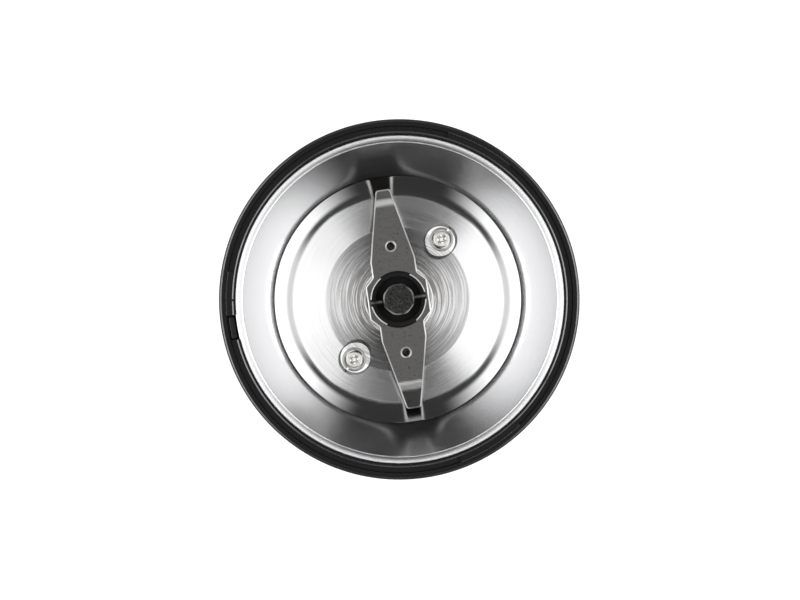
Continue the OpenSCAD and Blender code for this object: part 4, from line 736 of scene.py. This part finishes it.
# The cup's section, used by the cup and by its finish: a floor that rises to the middle and to the outside,
# a shallow dish round it, a tight corner, and a straight wall up to the bend under the lip
dish_c = Vector((FLOOR_R - DISH_R * math.sin(FLOOR_SLOPE), FLOOR_Z + DISH_R * math.cos(FLOOR_SLOPE)))
dish_from = math.degrees(FLOOR_SLOPE) - 90
dish_to = math.degrees(DISH_RISE) - 90
corner_c = dish_c + (DISH_R - CORNER_R) * Vector((math.sin(DISH_RISE), -math.cos(DISH_RISE)))
lip_top_r = LIP_BEND_R + CUP_T
lip_c = Vector((LIP_R - LIP_W, LIP_Z - lip_top_r))
corner_v = lip_c - corner_c
wall_turn = math.atan2(corner_v.y, corner_v.x) - math.acos((CORNER_R + lip_top_r) / corner_v.length)
wall_a = math.degrees(wall_turn)
wall_foot_r = corner_c.x + CORNER_R * math.cos(wall_turn)
wall_n = Vector((-math.cos(wall_turn), -math.sin(wall_turn)))
wall_top = lip_c + lip_top_r * wall_n
# The turn's arc touches the wall's line and the end of the roll
roll_in = LIP_ROLL_R - LIP_TURN_R
roll_c_z = LIP_Z - LIP_ROLL_R
turn_z = roll_c_z + roll_in * math.cos(math.radians(LIP_TILT))
turn_r = wall_top.x - (LIP_TURN_R + (turn_z - wall_top.y) * wall_n.y) / wall_n.x
roll_c_r = turn_r + roll_in * math.sin(math.radians(LIP_TILT))
wall_head_r = turn_r + LIP_TURN_R * wall_n.x


finishes = {
    "shell_plastic": black_abs(),
    "cup_steel": spun_stainless(),
    "blade_steel": ground_stainless(),
    "hub_plastic": dusty_nylon(),
    # ABS from a spark-eroded tool: matt black with a fine even grain
    "base_plastic": plastic("abs_matt_black", "#101011", "#1B1B1C", 0.55, 0.4, 0.03),
    # The same ABS for what a finger touches: satin, polished a little by use
    "button_plastic": plastic("abs_satin_black", "#151516", "#232324", 0.4, 0.5, 0.02),
    # Nickel-plated steel, cold headed: bright, with faint turning marks
    "screw_steel": metal("nickel_plated_steel", "#E6E5E1", "#D2D1CC", 0.2, 0.3, (1, 1, 1), 0.003),
    # Spring steel with a bare, slightly oily surface
    "washer_steel": metal("spring_washer_steel", "#D0CFCB", "#B4B3AF", 0.3, 0.3, (1, 1, 1), 0.004),
    # Ground shaft: bright, with fine rings from the grinding wheel
    "shaft_steel": metal("ground_shaft_steel", "#C8C8C6", "#AAA9A6", 0.25, 0.3, (0.1, 0.1, 1), 0.004),
    # Drawn music wire, grey with a thin phosphate coat
    "spring_steel": metal("drawn_spring_wire", "#8E8E8C", "#6C6C6A", 0.38, 0.2, (1, 1, 1), 0.004),
    # Sintered bronze: brown gold and full of pores that hold oil
    "bearing_bronze": metal("sintered_bronze", "#A9803F", "#7C5C2C", 0.45, 0.15, (1, 1, 1), 0.02),
    # Die-cast zinc: pale grey, with the soft flow marks of the die
    "bracket_zinc": metal("die_cast_zinc", "#A3A5A6", "#83858A", 0.5, 1.2, (1, 1, 1), 0.02),
    # Punched silicon steel sheets, half a millimetre each, blue grey with dark joints
    "laminations": layered("silicon_steel_stack", "#6F7276", "#2A2B2E", 0.45, 1.0, 0.5),
    # Enamelled copper: red brown under clear lacquer, in layers of 0.4 mm wire
    "copper": layered("enamelled_copper", "#A5562B", "#4E2412", 0.35, 1.0, 0.4),
    # Phenolic moulding: dark brown and mottled with wood flour
    "phenolic": plastic("phenolic_moulding", "#2A1C14", "#3B291E", 0.45, 0.8, 0.02),
    # Carbon graphite: dark grey with a faint shine
    "carbon": plastic("carbon_graphite", "#1E1E20", "#333336", 0.42, 0.15, 0.02),
    # PBT switch case: black and even, half matt
    "switch_black": plastic("pbt_black", "#17181A", "#212224", 0.45, 0.3, 0.01),
    # Natural nylon: warm cream, waxy
    "switch_cream": plastic("nylon_natural", "#DCD5C3", "#CFC6B0", 0.4, 0.6, 0.01),
    # Polypropylene capacitor case: strong yellow, slightly glossy
    "suppressor_yellow": plastic("polypropylene_yellow", "#D9A514", "#C79410", 0.35, 0.5, 0.01),
    # Nitrile rubber: dull black with a chalky bloom
    "rubber": plastic("nitrile_rubber", "#141414", "#262624", 0.75, 0.35, 0.03),
    # PVC wire sleeves in mains colours: smooth, a little waxy
    "wire_brown": plastic("pvc_brown", "#5A3218", "#6A3D20", 0.42, 0.6, 0.01),
    "wire_black": plastic("pvc_black", "#161616", "#222222", 0.42, 0.6, 0.01),
    "wire_blue": plastic("pvc_blue", "#1F4E9E", "#2A5CAF", 0.42, 0.6, 0.01),
}

for cad_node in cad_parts.values():
    cad_node.material_slots[0].material = finishes[cad_node.data.materials[0].name]


# Body shell
def body_section():
    """Side, shelf, groove, collar and the seat of the cup's lip, then back down the inside."""
    return [
        *arc((FOOT_R - FOOT_EDGE_R, SEAT_Z + FOOT_EDGE_R), FOOT_EDGE_R, -90, 0, 4),
        *arc((BODY_R - SHELF_EDGE_R, SHELF_Z - SHELF_EDGE_R), SHELF_EDGE_R, 0, 90, 10),
        *arc((GROOVE_R + GROOVE_EDGE_R, SHELF_Z - GROOVE_EDGE_R), GROOVE_EDGE_R, 90, 180, 4),
        (GROOVE_R, GROOVE_Z),
        (COLLAR_R, GROOVE_Z),
        *arc((COLLAR_R - COLLAR_EDGE_R, RIM_Z - COLLAR_EDGE_R), COLLAR_EDGE_R, 0, 90, 6),
        (LIP_SEAT_R, RIM_Z),
        (LIP_SEAT_R, LIP_Z - CUP_T),
        (COLLAR_IN_R, LIP_Z - CUP_T),
        (COLLAR_IN_R, SHELF_UNDER_Z),
        (outer_r(SHELF_UNDER_Z) - SHELL_WALL, SHELF_UNDER_Z),
        (outer_r(SEAT_Z) - SHELL_WALL, SEAT_Z),
    ]


def lock_box(name, width, near, far, low, high, x=0.0):
    """A box behind the slot, from one radius to another."""
    left = x - width / 2
    outline = [(left, -far), (left + width, -far), (left + width, -near), (left, -near)]
    return prism(name, outline, low, high, LOCK_TURN)


def lid_lugs():
    """The bayonet lugs outside the collar."""
    black = finishes["shell_plastic"]
    low = LUG_TOP_Z - LUG_T
    section = [
        (COLLAR_R - ROOT, low),
        *arc((LUG_R - LUG_EDGE_R, low + LUG_EDGE_R), LUG_EDGE_R, -90, 0, 4),
        *arc((LUG_R - LUG_EDGE_R, LUG_TOP_Z - LUG_EDGE_R), LUG_EDGE_R, 0, 90, 4),
        (COLLAR_R - ROOT, LUG_TOP_Z),
    ]
    return ring_of(turned("lugs", section, black, 24, LUG_START, LUG_SPAN), black, LUG_COUNT, 0, 0)


def at_base_screws(obj):
    """A part of the body, at each base screw."""
    return ring_of(obj, finishes["shell_plastic"], BASE_SCREW_COUNT, BASE_SCREW_AT, BASE_SCREW_ANGLE)


def body_inside():
    """What is moulded inside the body: pillars for the base screws, posts for the switch holder, a pocket for
    the lid's switch and a pad behind the cord inlet."""
    pillar = prism("pillar", circle(PILLAR_R, 32), PILLAR_Z, PILLAR_TOP_Z)
    reach = outer_r(PILLAR_Z) - SHELL_WALL + ROOT - BASE_SCREW_AT
    half = PILLAR_R / 2
    web = prism("web", [(0, -half), (reach, -half), (reach, half), (0, half)], PILLAR_Z, PILLAR_TOP_Z)
    wall_r = outer_r(POCKET_Z) - SHELL_WALL
    parts = [
        at_base_screws(carve(pillar, "UNION", web)),
        lock_box("ledge", POCKET_W, LEDGE_R, wall_r + ROOT, POCKET_Z, POCKET_Z + POCKET_T),
    ]
    for side in (-1, 1):
        x = side * HOLDER_POST_X
        parts.append(bar_y("post", x, BUTTON_Z, HOLDER_POST_R, HOLDER_POST_Y, holder_low.y))
        rib_x = side * (POCKET_W + POCKET_T + POCKET_PLAY) / 2
        parts.append(lock_box("rib", POCKET_T, POCKET_RIB_R, wall_r, POCKET_Z, POCKET_TOP_Z, rib_x))
    parts.append(bar_y("pad", 0, INLET_Z, INLET_PAD_R, INLET_PAD_Y, INLET_SEAT_Y))
    return parts


def body_openings():
    """What is cut out of it: slot, notch, the way and the room of the key, the openings for button and cord,
    and the pilot holes."""
    above = RIM_Z + PAST
    inside = LIP_SEAT_R - CUT_IN
    low = GROOVE_Z - CUT_IN
    slot = [(inside, low), (SLOT_R, low), (SLOT_R, above), (inside, above)]
    outside = COLLAR_R + PAST
    half = NOTCH_W / 2
    notch = [(LIP_SEAT_R, -half), (outside, -half), (outside, half), (LIP_SEAT_R, half)]
    notch_turn = Matrix.Rotation(math.radians(NOTCH_ANGLE), 4, "Z")
    foot_room = (FOOT_ROOM_W, COLLAR_IN_R - PAST, KEY_ROOM_R, FOOT_ROOM_Z, SHELF_UNDER_Z + CUT_IN)
    upright = Matrix.Translation((0, 0, BUTTON_Z)) @ Matrix.Rotation(math.radians(90), 4, "X")
    opening = stadium(BUTTON_W + 2 * BUTTON_GAP, BUTTON_H + 2 * BUTTON_GAP)
    parts = [
        turned("slot", slot, finishes["shell_plastic"], 12, SLOT_MID - SLOT_SPAN / 2, SLOT_SPAN),
        prism("notch", notch, RIM_Z - NOTCH_D, above, notch_turn),
        lock_box("passage", PASSAGE_W, PASSAGE_R, KEY_ROOM_R, SHELF_UNDER_Z, GROOVE_Z + PAST),
        lock_box("foot_room", *foot_room),
        prism("opening", opening, BODY_R - 2 * SHELL_WALL, BODY_R + 2 * SHELL_WALL, upright),
    ]
    for side in (-1, 1):
        x = side * HOLDER_POST_X
        parts.append(bar_y("pilot", x, BUTTON_Z, HOLDER_PILOT_R, HOLDER_PILOT_Y, holder_low.y + PAST))
    parts.append(at_base_screws(prism("pilot", circle(PILOT_R, 24), PILLAR_Z - PAST, PILOT_TOP_Z)))
    parts.append(bar_y("inlet_seat", 0, INLET_Z, INLET_SEAT_R, INLET_SEAT_Y, FOOT_R + PAST))
    parts.append(bar_y("inlet_hole", 0, INLET_Z, INLET_HOLE_R, INLET_PAD_Y - PAST, INLET_SEAT_Y + PAST))
    return parts


def body_shell():
    obj = turned("body_shell_look", body_section(), finishes["shell_plastic"], BODY_STEPS)
    carve(obj, "UNION", lid_lugs(), *body_inside())
    carve(obj, "DIFFERENCE", *body_openings())
    dress(smooth(obj), "housing", "shell_plastic", "body_shell")


# Grinding cup
def cup_section():
    """The sheet's inside from the lip to the seal, then back along its outside."""
    roll_to = 90 + LIP_TILT
    crease_drop = CREASE_HALF * math.tan(DOME_SLOPE)
    return [
        *arc((LIP_R - LIP_EDGE_R, LIP_Z - LIP_EDGE_R), LIP_EDGE_R, 0, 90),
        *arc((roll_c_r, roll_c_z), LIP_ROLL_R, 90, roll_to),
        *arc((turn_r, turn_z), LIP_TURN_R, roll_to, 180 + wall_a, 10)[1:],
        *arc(corner_c, CORNER_R, wall_a, dish_to, 10),
        *arc(dish_c, DISH_R, dish_to, dish_from, 24)[1:],
        (DOME_R, DOME_Z),
        (SEAL_FLAT_R + CREASE_HALF, SEAL_Z - crease_drop),
        (SEAL_FLAT_R - CREASE_HALF, SEAL_Z),
        (SEAL_NECK_R, SEAL_Z),
        (SEAL_NECK_R, SEAL_Z - CUP_T),
        (SEAL_FLAT_R, SEAL_Z - CUP_T),
        (DOME_R, DOME_Z - CUP_T),
        *arc(dish_c, DISH_R + CUP_T, dish_from, dish_to, 24),
        *arc(corner_c, CORNER_R + CUP_T, dish_to, wall_a, 10)[1:],
        *arc(lip_c, LIP_BEND_R, 180 + wall_a, 90, 4),
        (LIP_R, LIP_Z - CUP_T),
    ]


def cup_seat(name, points, at):
    """A tool for both screw seats, turned round an axis at a distance from the cup's own."""
    steel = finishes["cup_steel"]
    return ring_of(turned(name, points, steel, 64, closed=False), steel, 2, at, SCREW_ANGLE)


def grinding_cup():
    obj = turned("grinding_cup_look", cup_section(), finishes["cup_steel"], CUP_STEPS)
    # Each seat is a flat that reaches a little further to the middle of the cup than the other way
    under = SCREW_SEAT_Z - CUP_T
    top = SCREW_SEAT_Z + SINK_H
    seat_at = SCREW_AT - SEAT_SHIFT
    pan_r = SCREW_SEAT_R + CUP_T / 2
    pan = [(0, under), (pan_r, under), (pan_r + CUP_T, SCREW_SEAT_Z), (0, SCREW_SEAT_Z)]
    carve(obj, "UNION", cup_seat("pan", pan, seat_at))
    sink = [(0, SCREW_SEAT_Z), (SCREW_SEAT_R, SCREW_SEAT_Z), (SCREW_SEAT_R + SINK_H, top), (0, top)]
    hole = [(0, under - PAST), (SCREW_HOLE_R, under - PAST), (SCREW_HOLE_R, top), (0, top)]
    carve(obj, "DIFFERENCE", cup_seat("sink", sink, seat_at), cup_seat("hole", hole, SCREW_AT))
    dress(smooth(obj, angle=14), "housing", "cup_steel", "grinding_cup")


# Screws and washers
def pan_screw(name, head_r, head_h, edge, thread_r, length, pitch, cross):
    """A pan-head screw that stands on its head's underside, with turned rings and a cross recess. The cross
    is given by half an arm's length, half its width, and its depth."""
    root_r = thread_r - THREAD_D
    section = [(0, -length), (root_r, -length)]
    for i in range(int((length - SHANK) / pitch)):
        section += [(thread_r, -length + (i + 0.5) * pitch), (root_r, -length + (i + 1) * pitch)]
    section += [
        (root_r, -THREAD_END),
        (thread_r, 0),
        (head_r - HEAD_CHAMFER, 0),
        (head_r, HEAD_CHAMFER),
        *arc((head_r - edge, head_h - edge), edge, 0, 90),
    ]
    for drawn_in in RING_INSETS:
        r = head_r - edge - drawn_in
        section += [(r, head_h), (r - RING_W / 2, head_h - RING_D), (r - RING_W, head_h)]
    section.append((0, head_h))
    obj = turned(name, section, finishes["screw_steel"], 48, closed=False)
    arm_half, width_half, depth = cross
    tools = []
    for turn in (0, 90):
        loops = []
        for share, z in ((RECESS_TAPER, head_h - depth), (1.0, head_h), (1.0, head_h + PAST)):
            x = arm_half * share
            y = width_half * share
            loops.append([(-x, -y, z), (x, -y, z), (x, y, z), (-x, y, z)])
        tools.append(loft("arm", loops, Matrix.Rotation(math.radians(turn), 4, "Z")))
    return carve(obj, "DIFFERENCE", *tools)


def cup_screws():
    screw = pan_screw(
        "cup_screws_look", head_r=2.6, head_h=1.9, edge=0.75, thread_r=1.5, length=8.0, pitch=0.5,
        cross=(1.35, 0.42, 1.1),
    )
    placed(screw, Matrix.Translation((0, 0, SCREW_SEAT_Z + WASHER_T)))
    screws = ring_of(screw, finishes["screw_steel"], 2, SCREW_AT, SCREW_ANGLE)
    dress(smooth(screws), "housing", "screw_steel", "cup_screws")


def cup_washers():
    steel = finishes["washer_steel"]
    low = SCREW_SEAT_Z
    high = low + WASHER_T
    corners = [(WASHER_IN_R, low), (WASHER_R, low), (WASHER_R, high), (WASHER_IN_R, high)]
    gap = math.degrees(WASHER_SPLIT / WASHER_R)
    section = rounded(corners, WASHER_EDGE_R, 3)
    washer = turned("cup_washers_look", section, steel, 64, gap / 2, 360 - gap)
    dress(smooth(ring_of(washer, steel, 2, SCREW_AT, SCREW_ANGLE)), "housing", "washer_steel", "cup_washers")


def base_screws():
    screw = pan_screw(
        "base_screws_look", head_r=2.8, head_h=BASE_HEAD_H, edge=0.6, thread_r=1.45, length=12.0, pitch=0.8,
        cross=(1.3, 0.3, 1.1),
    )
    flip = Matrix.Rotation(math.pi, 4, "X")
    placed(screw, Matrix.Translation((0, 0, BASE_HEAD_Z + BASE_HEAD_H)) @ flip)
    screws = ring_of(screw, finishes["screw_steel"], BASE_SCREW_COUNT, BASE_SCREW_AT, BASE_SCREW_ANGLE)
    dress(smooth(screws), "housing", "screw_steel", "base_screws")


# Blade
def blade_plan():
    """Half of the outline from one side of the plate to the other, and the same again turned half round."""
    half = [
        (PLATE_W / 2, -PLATE_L / 2),
        (PLATE_W / 2, PLATE_L / 2),
        (WING_ROOT_W / 2, PLATE_NECK),
        (WING_ROOT_W / 2, TAPER_START),
        (WING_TIP_W / 2, WING_REACH),
        (-WING_TIP_W / 2, WING_REACH),
        (-WING_ROOT_W / 2, TAPER_START),
        (-WING_ROOT_W / 2, PLATE_NECK),
    ]
    return half + [(-x, -y) for x, y in half]


def bent(y, start, angle, radius):
    """Height of a surface that bends up at a distance, round a radius and then straight."""
    past = y - start
    if past <= 0:
        return TIP_BEND_R - radius
    if past < radius * math.sin(angle):
        return TIP_BEND_R - math.sqrt(radius * radius - past * past)
    straight = past - radius * math.sin(angle)
    return TIP_BEND_R - radius * math.cos(angle) + straight * math.tan(angle)


def bent_height(y, h):
    """Where a point of the flat plate goes, from its distance along the wing and its height in the plate."""
    share = h / BLADE_T + 0.5
    if y > 0:
        low = bent(y, RISE_START, RISE_ANGLE, TIP_BEND_R + BLADE_T / 2)
        high = bent(y, RISE_START, RISE_ANGLE, TIP_BEND_R - BLADE_T / 2)
    else:
        low = -bent(-y, FALL_START, FALL_ANGLE, TIP_BEND_R - BLADE_T / 2)
        high = -bent(-y, FALL_START, FALL_ANGLE, TIP_BEND_R + BLADE_T / 2)
    return low + (high - low) * share


def blade_hole(name, radius, edge, depth, steps):
    """A tool for a hole through the blade, with a chamfer at the top."""
    top = BLADE_T / 2
    low = -top - PAST
    high = top + depth
    section = [(0, low), (radius, low), (radius, top - depth), (radius + 2 * edge, high), (0, high)]
    return turned(name, section, finishes["blade_steel"], steps, closed=False)


def flat_blade():
    """The blade before its tips are bent."""
    steel = finishes["blade_steel"]
    half = BLADE_T / 2
    outline = rounded(blade_plan(), BLADE_CORNER_R)
    drawn_in = inset(outline, BLADE_EDGE)
    side_top = half - BLADE_EDGE
    levels = ((drawn_in, -half), (outline, -side_top), (outline, side_top), (drawn_in, half))
    loops = [[(x, y, z) for x, y in loop] for loop, z in levels]
    side = KEYWAY_W / 2
    keyway = [(-KEYWAY_REACH, -side), (KEYWAY_REACH, -side), (KEYWAY_REACH, side), (-KEYWAY_REACH, side)]
    wing_hole = blade_hole("hole", WING_HOLE_R, WING_HOLE_EDGE, WING_HOLE_EDGE, 40)
    return carve(
        loft("blade_look", loops, material=steel), "DIFFERENCE",
        blade_hole("bore", BORE_R, BORE_EDGE, BORE_DEPTH, 96),
        prism("keyway", keyway, -half - PAST, half + PAST),
        ring_of(wing_hole, steel, 2, WING_HOLE_AT, 90),
    )


def blade():
    obj = flat_blade()
    shape = bmesh.new()
    shape.from_mesh(obj.data)
    bmesh.ops.remove_doubles(shape, verts=shape.verts, dist=WELD)
    # Marks the chamfers and the underside for the finish, while the plate is still flat
    level = 0.99
    upright = 0.3
    chamfer = shape.faces.layers.float.new("chamfer")
    underside = shape.faces.layers.float.new("underside")
    for face in shape.faces:
        face.normal_update()
        face[chamfer] = float(upright < abs(face.normal.z) < level)
        face[underside] = float(face.normal.z < -level)
    # Cuts across the wings, so that the tips can bend
    stations = [RISE_START + BEND_STEP * i for i in range(RISE_STEPS)]
    stations += [-FALL_START - BEND_STEP * i for i in range(FALL_STEPS)]
    for y in stations:
        every = shape.verts[:] + shape.edges[:] + shape.faces[:]
        bmesh.ops.bisect_plane(shape, geom=every, plane_co=(0, y * MM, 0), plane_no=(0, 1, 0))
    for vert in shape.verts:
        vert.co.z = bent_height(vert.co.y / MM, vert.co.z / MM) * MM
    shape.to_mesh(obj.data)
    shape.free()
    raised = Matrix.Translation((0, 0, BLADE_Z + BLADE_T / 2))
    placed(obj, raised @ Matrix.Rotation(BLADE_TURN, 4, "Z"))
    dress(smooth(obj, angle=25), "rotor", "blade_steel", "blade")


# CAD pieces whose shape is right but whose edges are moulded round
def softened(node, body, slot, edge):
    """A copy of a CAD piece with its sharp edges rounded."""
    shape = bmesh.new()
    shape.from_mesh(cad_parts[node].data)
    bmesh.ops.remove_doubles(shape, verts=shape.verts, dist=10 * WELD)
    bmesh.ops.dissolve_limit(shape, angle_limit=math.radians(0.5), verts=shape.verts, edges=shape.edges)
    sharp = [e for e in shape.edges if e.is_manifold and e.calc_face_angle() > math.radians(35)]
    bmesh.ops.bevel(
        shape, geom=sharp, offset=edge * MM, segments=2, profile=0.5, affect="EDGES", clamp_overlap=True,
    )
    mesh = bpy.data.meshes.new(node + "_look")
    shape.to_mesh(mesh)
    shape.free()
    mesh.materials.append(finishes[slot])
    dress(smooth(new_object(node + "_look", mesh)), body, slot, node)


# Start button
def button_face(x, z):
    """Depth of the button's face, flush with the round body, and of the dimple in it."""
    skin = -math.sqrt(BUTTON_FACE_R ** 2 - x * x)
    bowl = DIMPLE_D - BUTTON_FACE_R - DIMPLE_R + math.sqrt(DIMPLE_R ** 2 - x * x - z * z)
    near = max(DIMPLE_BLEND - abs(skin - bowl), 0) / DIMPLE_BLEND
    return max(skin, bowl) + near * near * DIMPLE_BLEND / 4


def button_loop(drawn_in, depth):
    """The button's outline, drawn in by a distance, at a depth that a function gives."""
    half = BUTTON_W / 2
    straight = (BUTTON_H - BUTTON_W) / 2
    loop = []
    for x, z in stadium(BUTTON_W, BUTTON_H, steps=31):
        core = Vector((0, max(min(z, straight), -straight)))
        spot = core + (Vector((x, z)) - core) * (1 - drawn_in / half)
        loop.append((spot.x, depth(spot.x, spot.y), spot.y + BUTTON_Z))
    return loop


def start_button():
    """A stadium with a rounded edge and a finger dimple, its flange inside the body and its stem."""
    loops = [
        button_loop(-FLANGE_LAP, lambda x, z: FLANGE_BACK_Y),
        button_loop(-FLANGE_LAP, lambda x, z: FLANGE_Y),
        button_loop(0, lambda x, z: FLANGE_Y),
    ]
    for i in range(BUTTON_EDGE_STEPS + 1):
        turn = math.radians(90 * i / BUTTON_EDGE_STEPS)
        drop = BUTTON_EDGE_R * (1 - math.sin(turn))
        drawn_in = BUTTON_EDGE_R * (1 - math.cos(turn))
        loops.append(button_loop(drawn_in, lambda x, z: button_face(x, z) + drop))
    reach = BUTTON_W / 2 - BUTTON_EDGE_R - BUTTON_MIDDLE
    for i in range(1, BUTTON_FACE_STEPS + 1):
        loops.append(button_loop(BUTTON_EDGE_R + reach * i / BUTTON_FACE_STEPS, button_face))
    obj = loft("start_button_look", loops, material=finishes["button_plastic"])
    carve(obj, "UNION", bar_y("stem", 0, BUTTON_Z, STEM_R, FLANGE_BACK_Y - ROOT, button_high.y))
    dress(smooth(obj, angle=40), "button", "button_plastic", "start_button")


# Springs under the button and the lid's key
def spring(node):
    """A copy of a CAD spring, in drawn spring wire, with a mesh of its own."""
    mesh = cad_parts[node].data.copy()
    mesh.materials[0] = finishes["spring_steel"]
    obj = new_object(node + "_look", mesh)
    dress(smooth(obj), "housing", "spring_steel", node)
    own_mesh(obj)


# Feet
def rubber_feet():
    """Round feet with a shallow dimple underneath."""
    rubber = finishes["rubber"]
    section = [
        (0, RUBBER_DIMPLE_D),
        (RUBBER_DIMPLE_R, RUBBER_DIMPLE_D),
        (RUBBER_DIMPLE_R + RUBBER_DIMPLE_EDGE, 0),
        *arc((RUBBER_R - RUBBER_EDGE_R, RUBBER_EDGE_R), RUBBER_EDGE_R, -90, 0, 6),
        (RUBBER_R, RUBBER_TOP_Z),
        (0, RUBBER_TOP_Z),
    ]
    foot = turned("rubber_feet_look", section, rubber, 48, closed=False)
    dress(smooth(ring_of(foot, rubber, 4, RUBBER_AT, 45)), "housing", "rubber", "rubber_feet")


body_shell()
grinding_cup()
cup_screws()
cup_washers()
blade()
start_button()
spring("button_spring")
spring("interlock_spring")
rubber_feet()
base_screws()
softened("blade_hub", "rotor", "hub_plastic", edge=0.12)
softened("interlock_key", "lid_key", "button_plastic", edge=0.2)
softened("base_cover", "housing", "base_plastic", edge=0.2)
softened("cord_inlet", "housing", "base_plastic", edge=0.3)
softened("shaft_seal", "housing", "rubber", edge=0.25)

# Floor, with its sizes in millimetres
FLOOR_RADIUS = 3000.0
FLOOR_DROP = 0.2
FLOOR_GREY = (0.5, 0.5, 0.5, 1)
FLOOR_GLOW = 0.75
WHITE = (1, 1, 1, 1)


def floor():
    """Plain and pale: white to the camera and in reflections, with the object's soft shadow on it."""
    material = bpy.data.materials.new("floor_white")
    material.use_nodes = True
    tree = material.node_tree
    tree.nodes.remove(tree.nodes["Principled BSDF"])
    node = partial(add, tree)
    seen = 0.0
    for ray in ("Is Camera Ray", "Is Glossy Ray", "Is Transmission Ray"):
        seen = node("Math", (seen, node("LightPath", out=ray)), operation="MAXIMUM")
    glow = node("Math", (seen, FLOOR_GLOW), operation="MULTIPLY")
    white = node("Emission", {"Color": WHITE, "Strength": glow})
    both = node("AddShader", (white, node("BsdfDiffuse", {"Color": FLOOR_GREY})))
    tree.links.new(both, tree.nodes["Material Output"].inputs["Surface"])
    shape = bmesh.new()
    bmesh.ops.create_circle(shape, cap_ends=True, radius=FLOOR_RADIUS, segments=96)
    obj = placed(from_bmesh("floor", shape, material), Matrix.Translation((0, 0, -FLOOR_DROP)))
    if obj.data.polygons[0].normal.z < 0:
        obj.data.flip_normals()


# Studio, as the sky shows it. A soft box hangs overhead: full up to one sine from the zenith and gone at the
# next, across and along, and wider by its flare towards its left and right ends. Panels stand to the left and
# right: the sines of the turn, from the picture's top and bottom, where they start and are whole. They are
# full up to one height, and above another only a dimmer part is left, straight to the left and right. A
# narrow band of lamps stands round the table at its own height, and all is pale low down. Heights are sines
# of the angle above the table, which are cosines of the angle from the zenith.
BOX_ACROSS = (math.sin(math.radians(3.0)), math.sin(math.radians(5.5)))
BOX_ALONG = (math.sin(math.radians(11.0)), math.sin(math.radians(13.5)))
BOX_FLARE = 0.6
SIDE_START = 0.35
SIDE_WHOLE = 0.9
SIDE_FULL = math.cos(math.radians(26.0))
SIDE_TOP = math.cos(math.radians(20.0))
DIM_START = 0.78
DIM_WHOLE = 0.98
DIM_SHARE = 0.5
BAND_AT = 0.33
BAND_CORE = 0.02
BAND_EDGE = 0.05
BAND_BRIGHT = 5.0
PALE_FULL = 0.12
PALE_END = 0.5
SKY_DARK = 0.04
SKY_BRIGHT = 1.7
SOFT = {"interpolation_type": "SMOOTHSTEP"}

# Lamps, in metres
LAMP_AWAY = 1.3
LAMP_UP = 0.6
LAMP_SIZE = (1.2, 0.7)
LAMP_BRIGHT = 1.0


def lamps():
    """A soft box to the left and one to the right, which face the rim. Their power gives them their
    brightness when they are seen in a reflection."""
    for side in (-1, 1):
        data = bpy.data.lights.new("soft_box", "AREA")
        data.shape = "RECTANGLE"
        data.size, data.size_y = LAMP_SIZE
        data.energy = LAMP_BRIGHT * math.pi * data.size * data.size_y
        obj = new_object("soft_box", data)
        obj.location = (0, side * LAMP_AWAY, LAMP_UP)
        obj.rotation_euler = (Vector((0, 0, RIM_Z * MM)) - obj.location).to_track_quat("-Z", "Y").to_euler()
        obj.visible_camera = False


def studio():
    """The sky: pale low down, a long soft box overhead, bright panels to the left and the right, a band of
    lamps round the table, and dark towards the two ends."""
    world = bpy.data.worlds.new("studio")
    bpy.context.scene.world = world
    world.use_nodes = True
    tree = world.node_tree
    node = partial(add, tree)
    way = node("TexCoord", out="Generated")
    up = node("SeparateXYZ", (way,), "Z")
    reach, round_way = radial_parts(node, way)
    side = node("Math", (node("SeparateXYZ", (round_way,), "Y"),), operation="ABSOLUTE")
    sides = node("MapRange", (side, SIDE_START, SIDE_WHOLE), **SOFT)
    dim = node("MapRange", (side, DIM_START, DIM_WHOLE, 0, DIM_SHARE), **SOFT)
    lower = node("MapRange", (up, SIDE_FULL, SIDE_TOP, 1, dim), **SOFT)
    panels = node("Math", (sides, lower), operation="MULTIPLY")
    away = node("VectorMath", (way,), operation="ABSOLUTE")
    away_x = node("SeparateXYZ", (away,), "X")
    away_y = node("SeparateXYZ", (away,), "Y")
    flared = node("Math", (away_y, -BOX_FLARE, away_x), operation="MULTIPLY_ADD")
    across = node("MapRange", (flared, *BOX_ACROSS, 1, 0), **SOFT)
    along = node("MapRange", (reach, *BOX_ALONG, 1, 0), **SOFT)
    box = node("Math", (across, along), operation="MULTIPLY")
    lit = node("Math", (panels, box), operation="MAXIMUM")
    high = node("MapRange", (lit, 0, 1, SKY_DARK, SKY_BRIGHT))
    pale = node("MapRange", (up, PALE_FULL, PALE_END, 1, 0), **SOFT)
    whole = node("Mix", {0: pale, 2: high, 3: 1.0})
    level = node("Math", (up, BAND_AT), operation="SUBTRACT")
    level = node("Math", (level,), operation="ABSOLUTE")
    band = node("MapRange", (level, BAND_CORE, BAND_EDGE, BAND_BRIGHT, 0), **SOFT)
    sky = node("Math", (whole, band), operation="ADD")
    tree.nodes["Background"].inputs["Color"].default_value = WHITE
    tree.links.new(sky, tree.nodes["Background"].inputs["Strength"])


# Camera, in metres, with a sensor and a lens in millimetres
CAMERA_Z = 0.82
LEAN = 0.012
SENSOR_W = 36.0
LENS = 126.3
SHIFT_Y = -0.00075
CLIP_END = 20.0


def camera():
    """Almost straight above the middle, with the front of the body to the left of the picture."""
    data = bpy.data.cameras.new("camera")
    data.sensor_width = SENSOR_W
    data.lens = LENS
    data.shift_y = SHIFT_Y
    data.clip_end = CLIP_END
    obj = new_object("camera", data)
    obj.location = (0, -LEAN, CAMERA_Z)
    lean = Matrix.Rotation(math.atan2(LEAN, CAMERA_Z - RIM_Z * MM), 3, "X")
    obj.rotation_euler = (lean @ Matrix.Rotation(math.radians(90), 3, "Z")).to_euler()
    bpy.context.scene.camera = obj


floor()
lamps()
studio()
camera()
bpy.context.scene.view_settings.view_transform = "Standard"
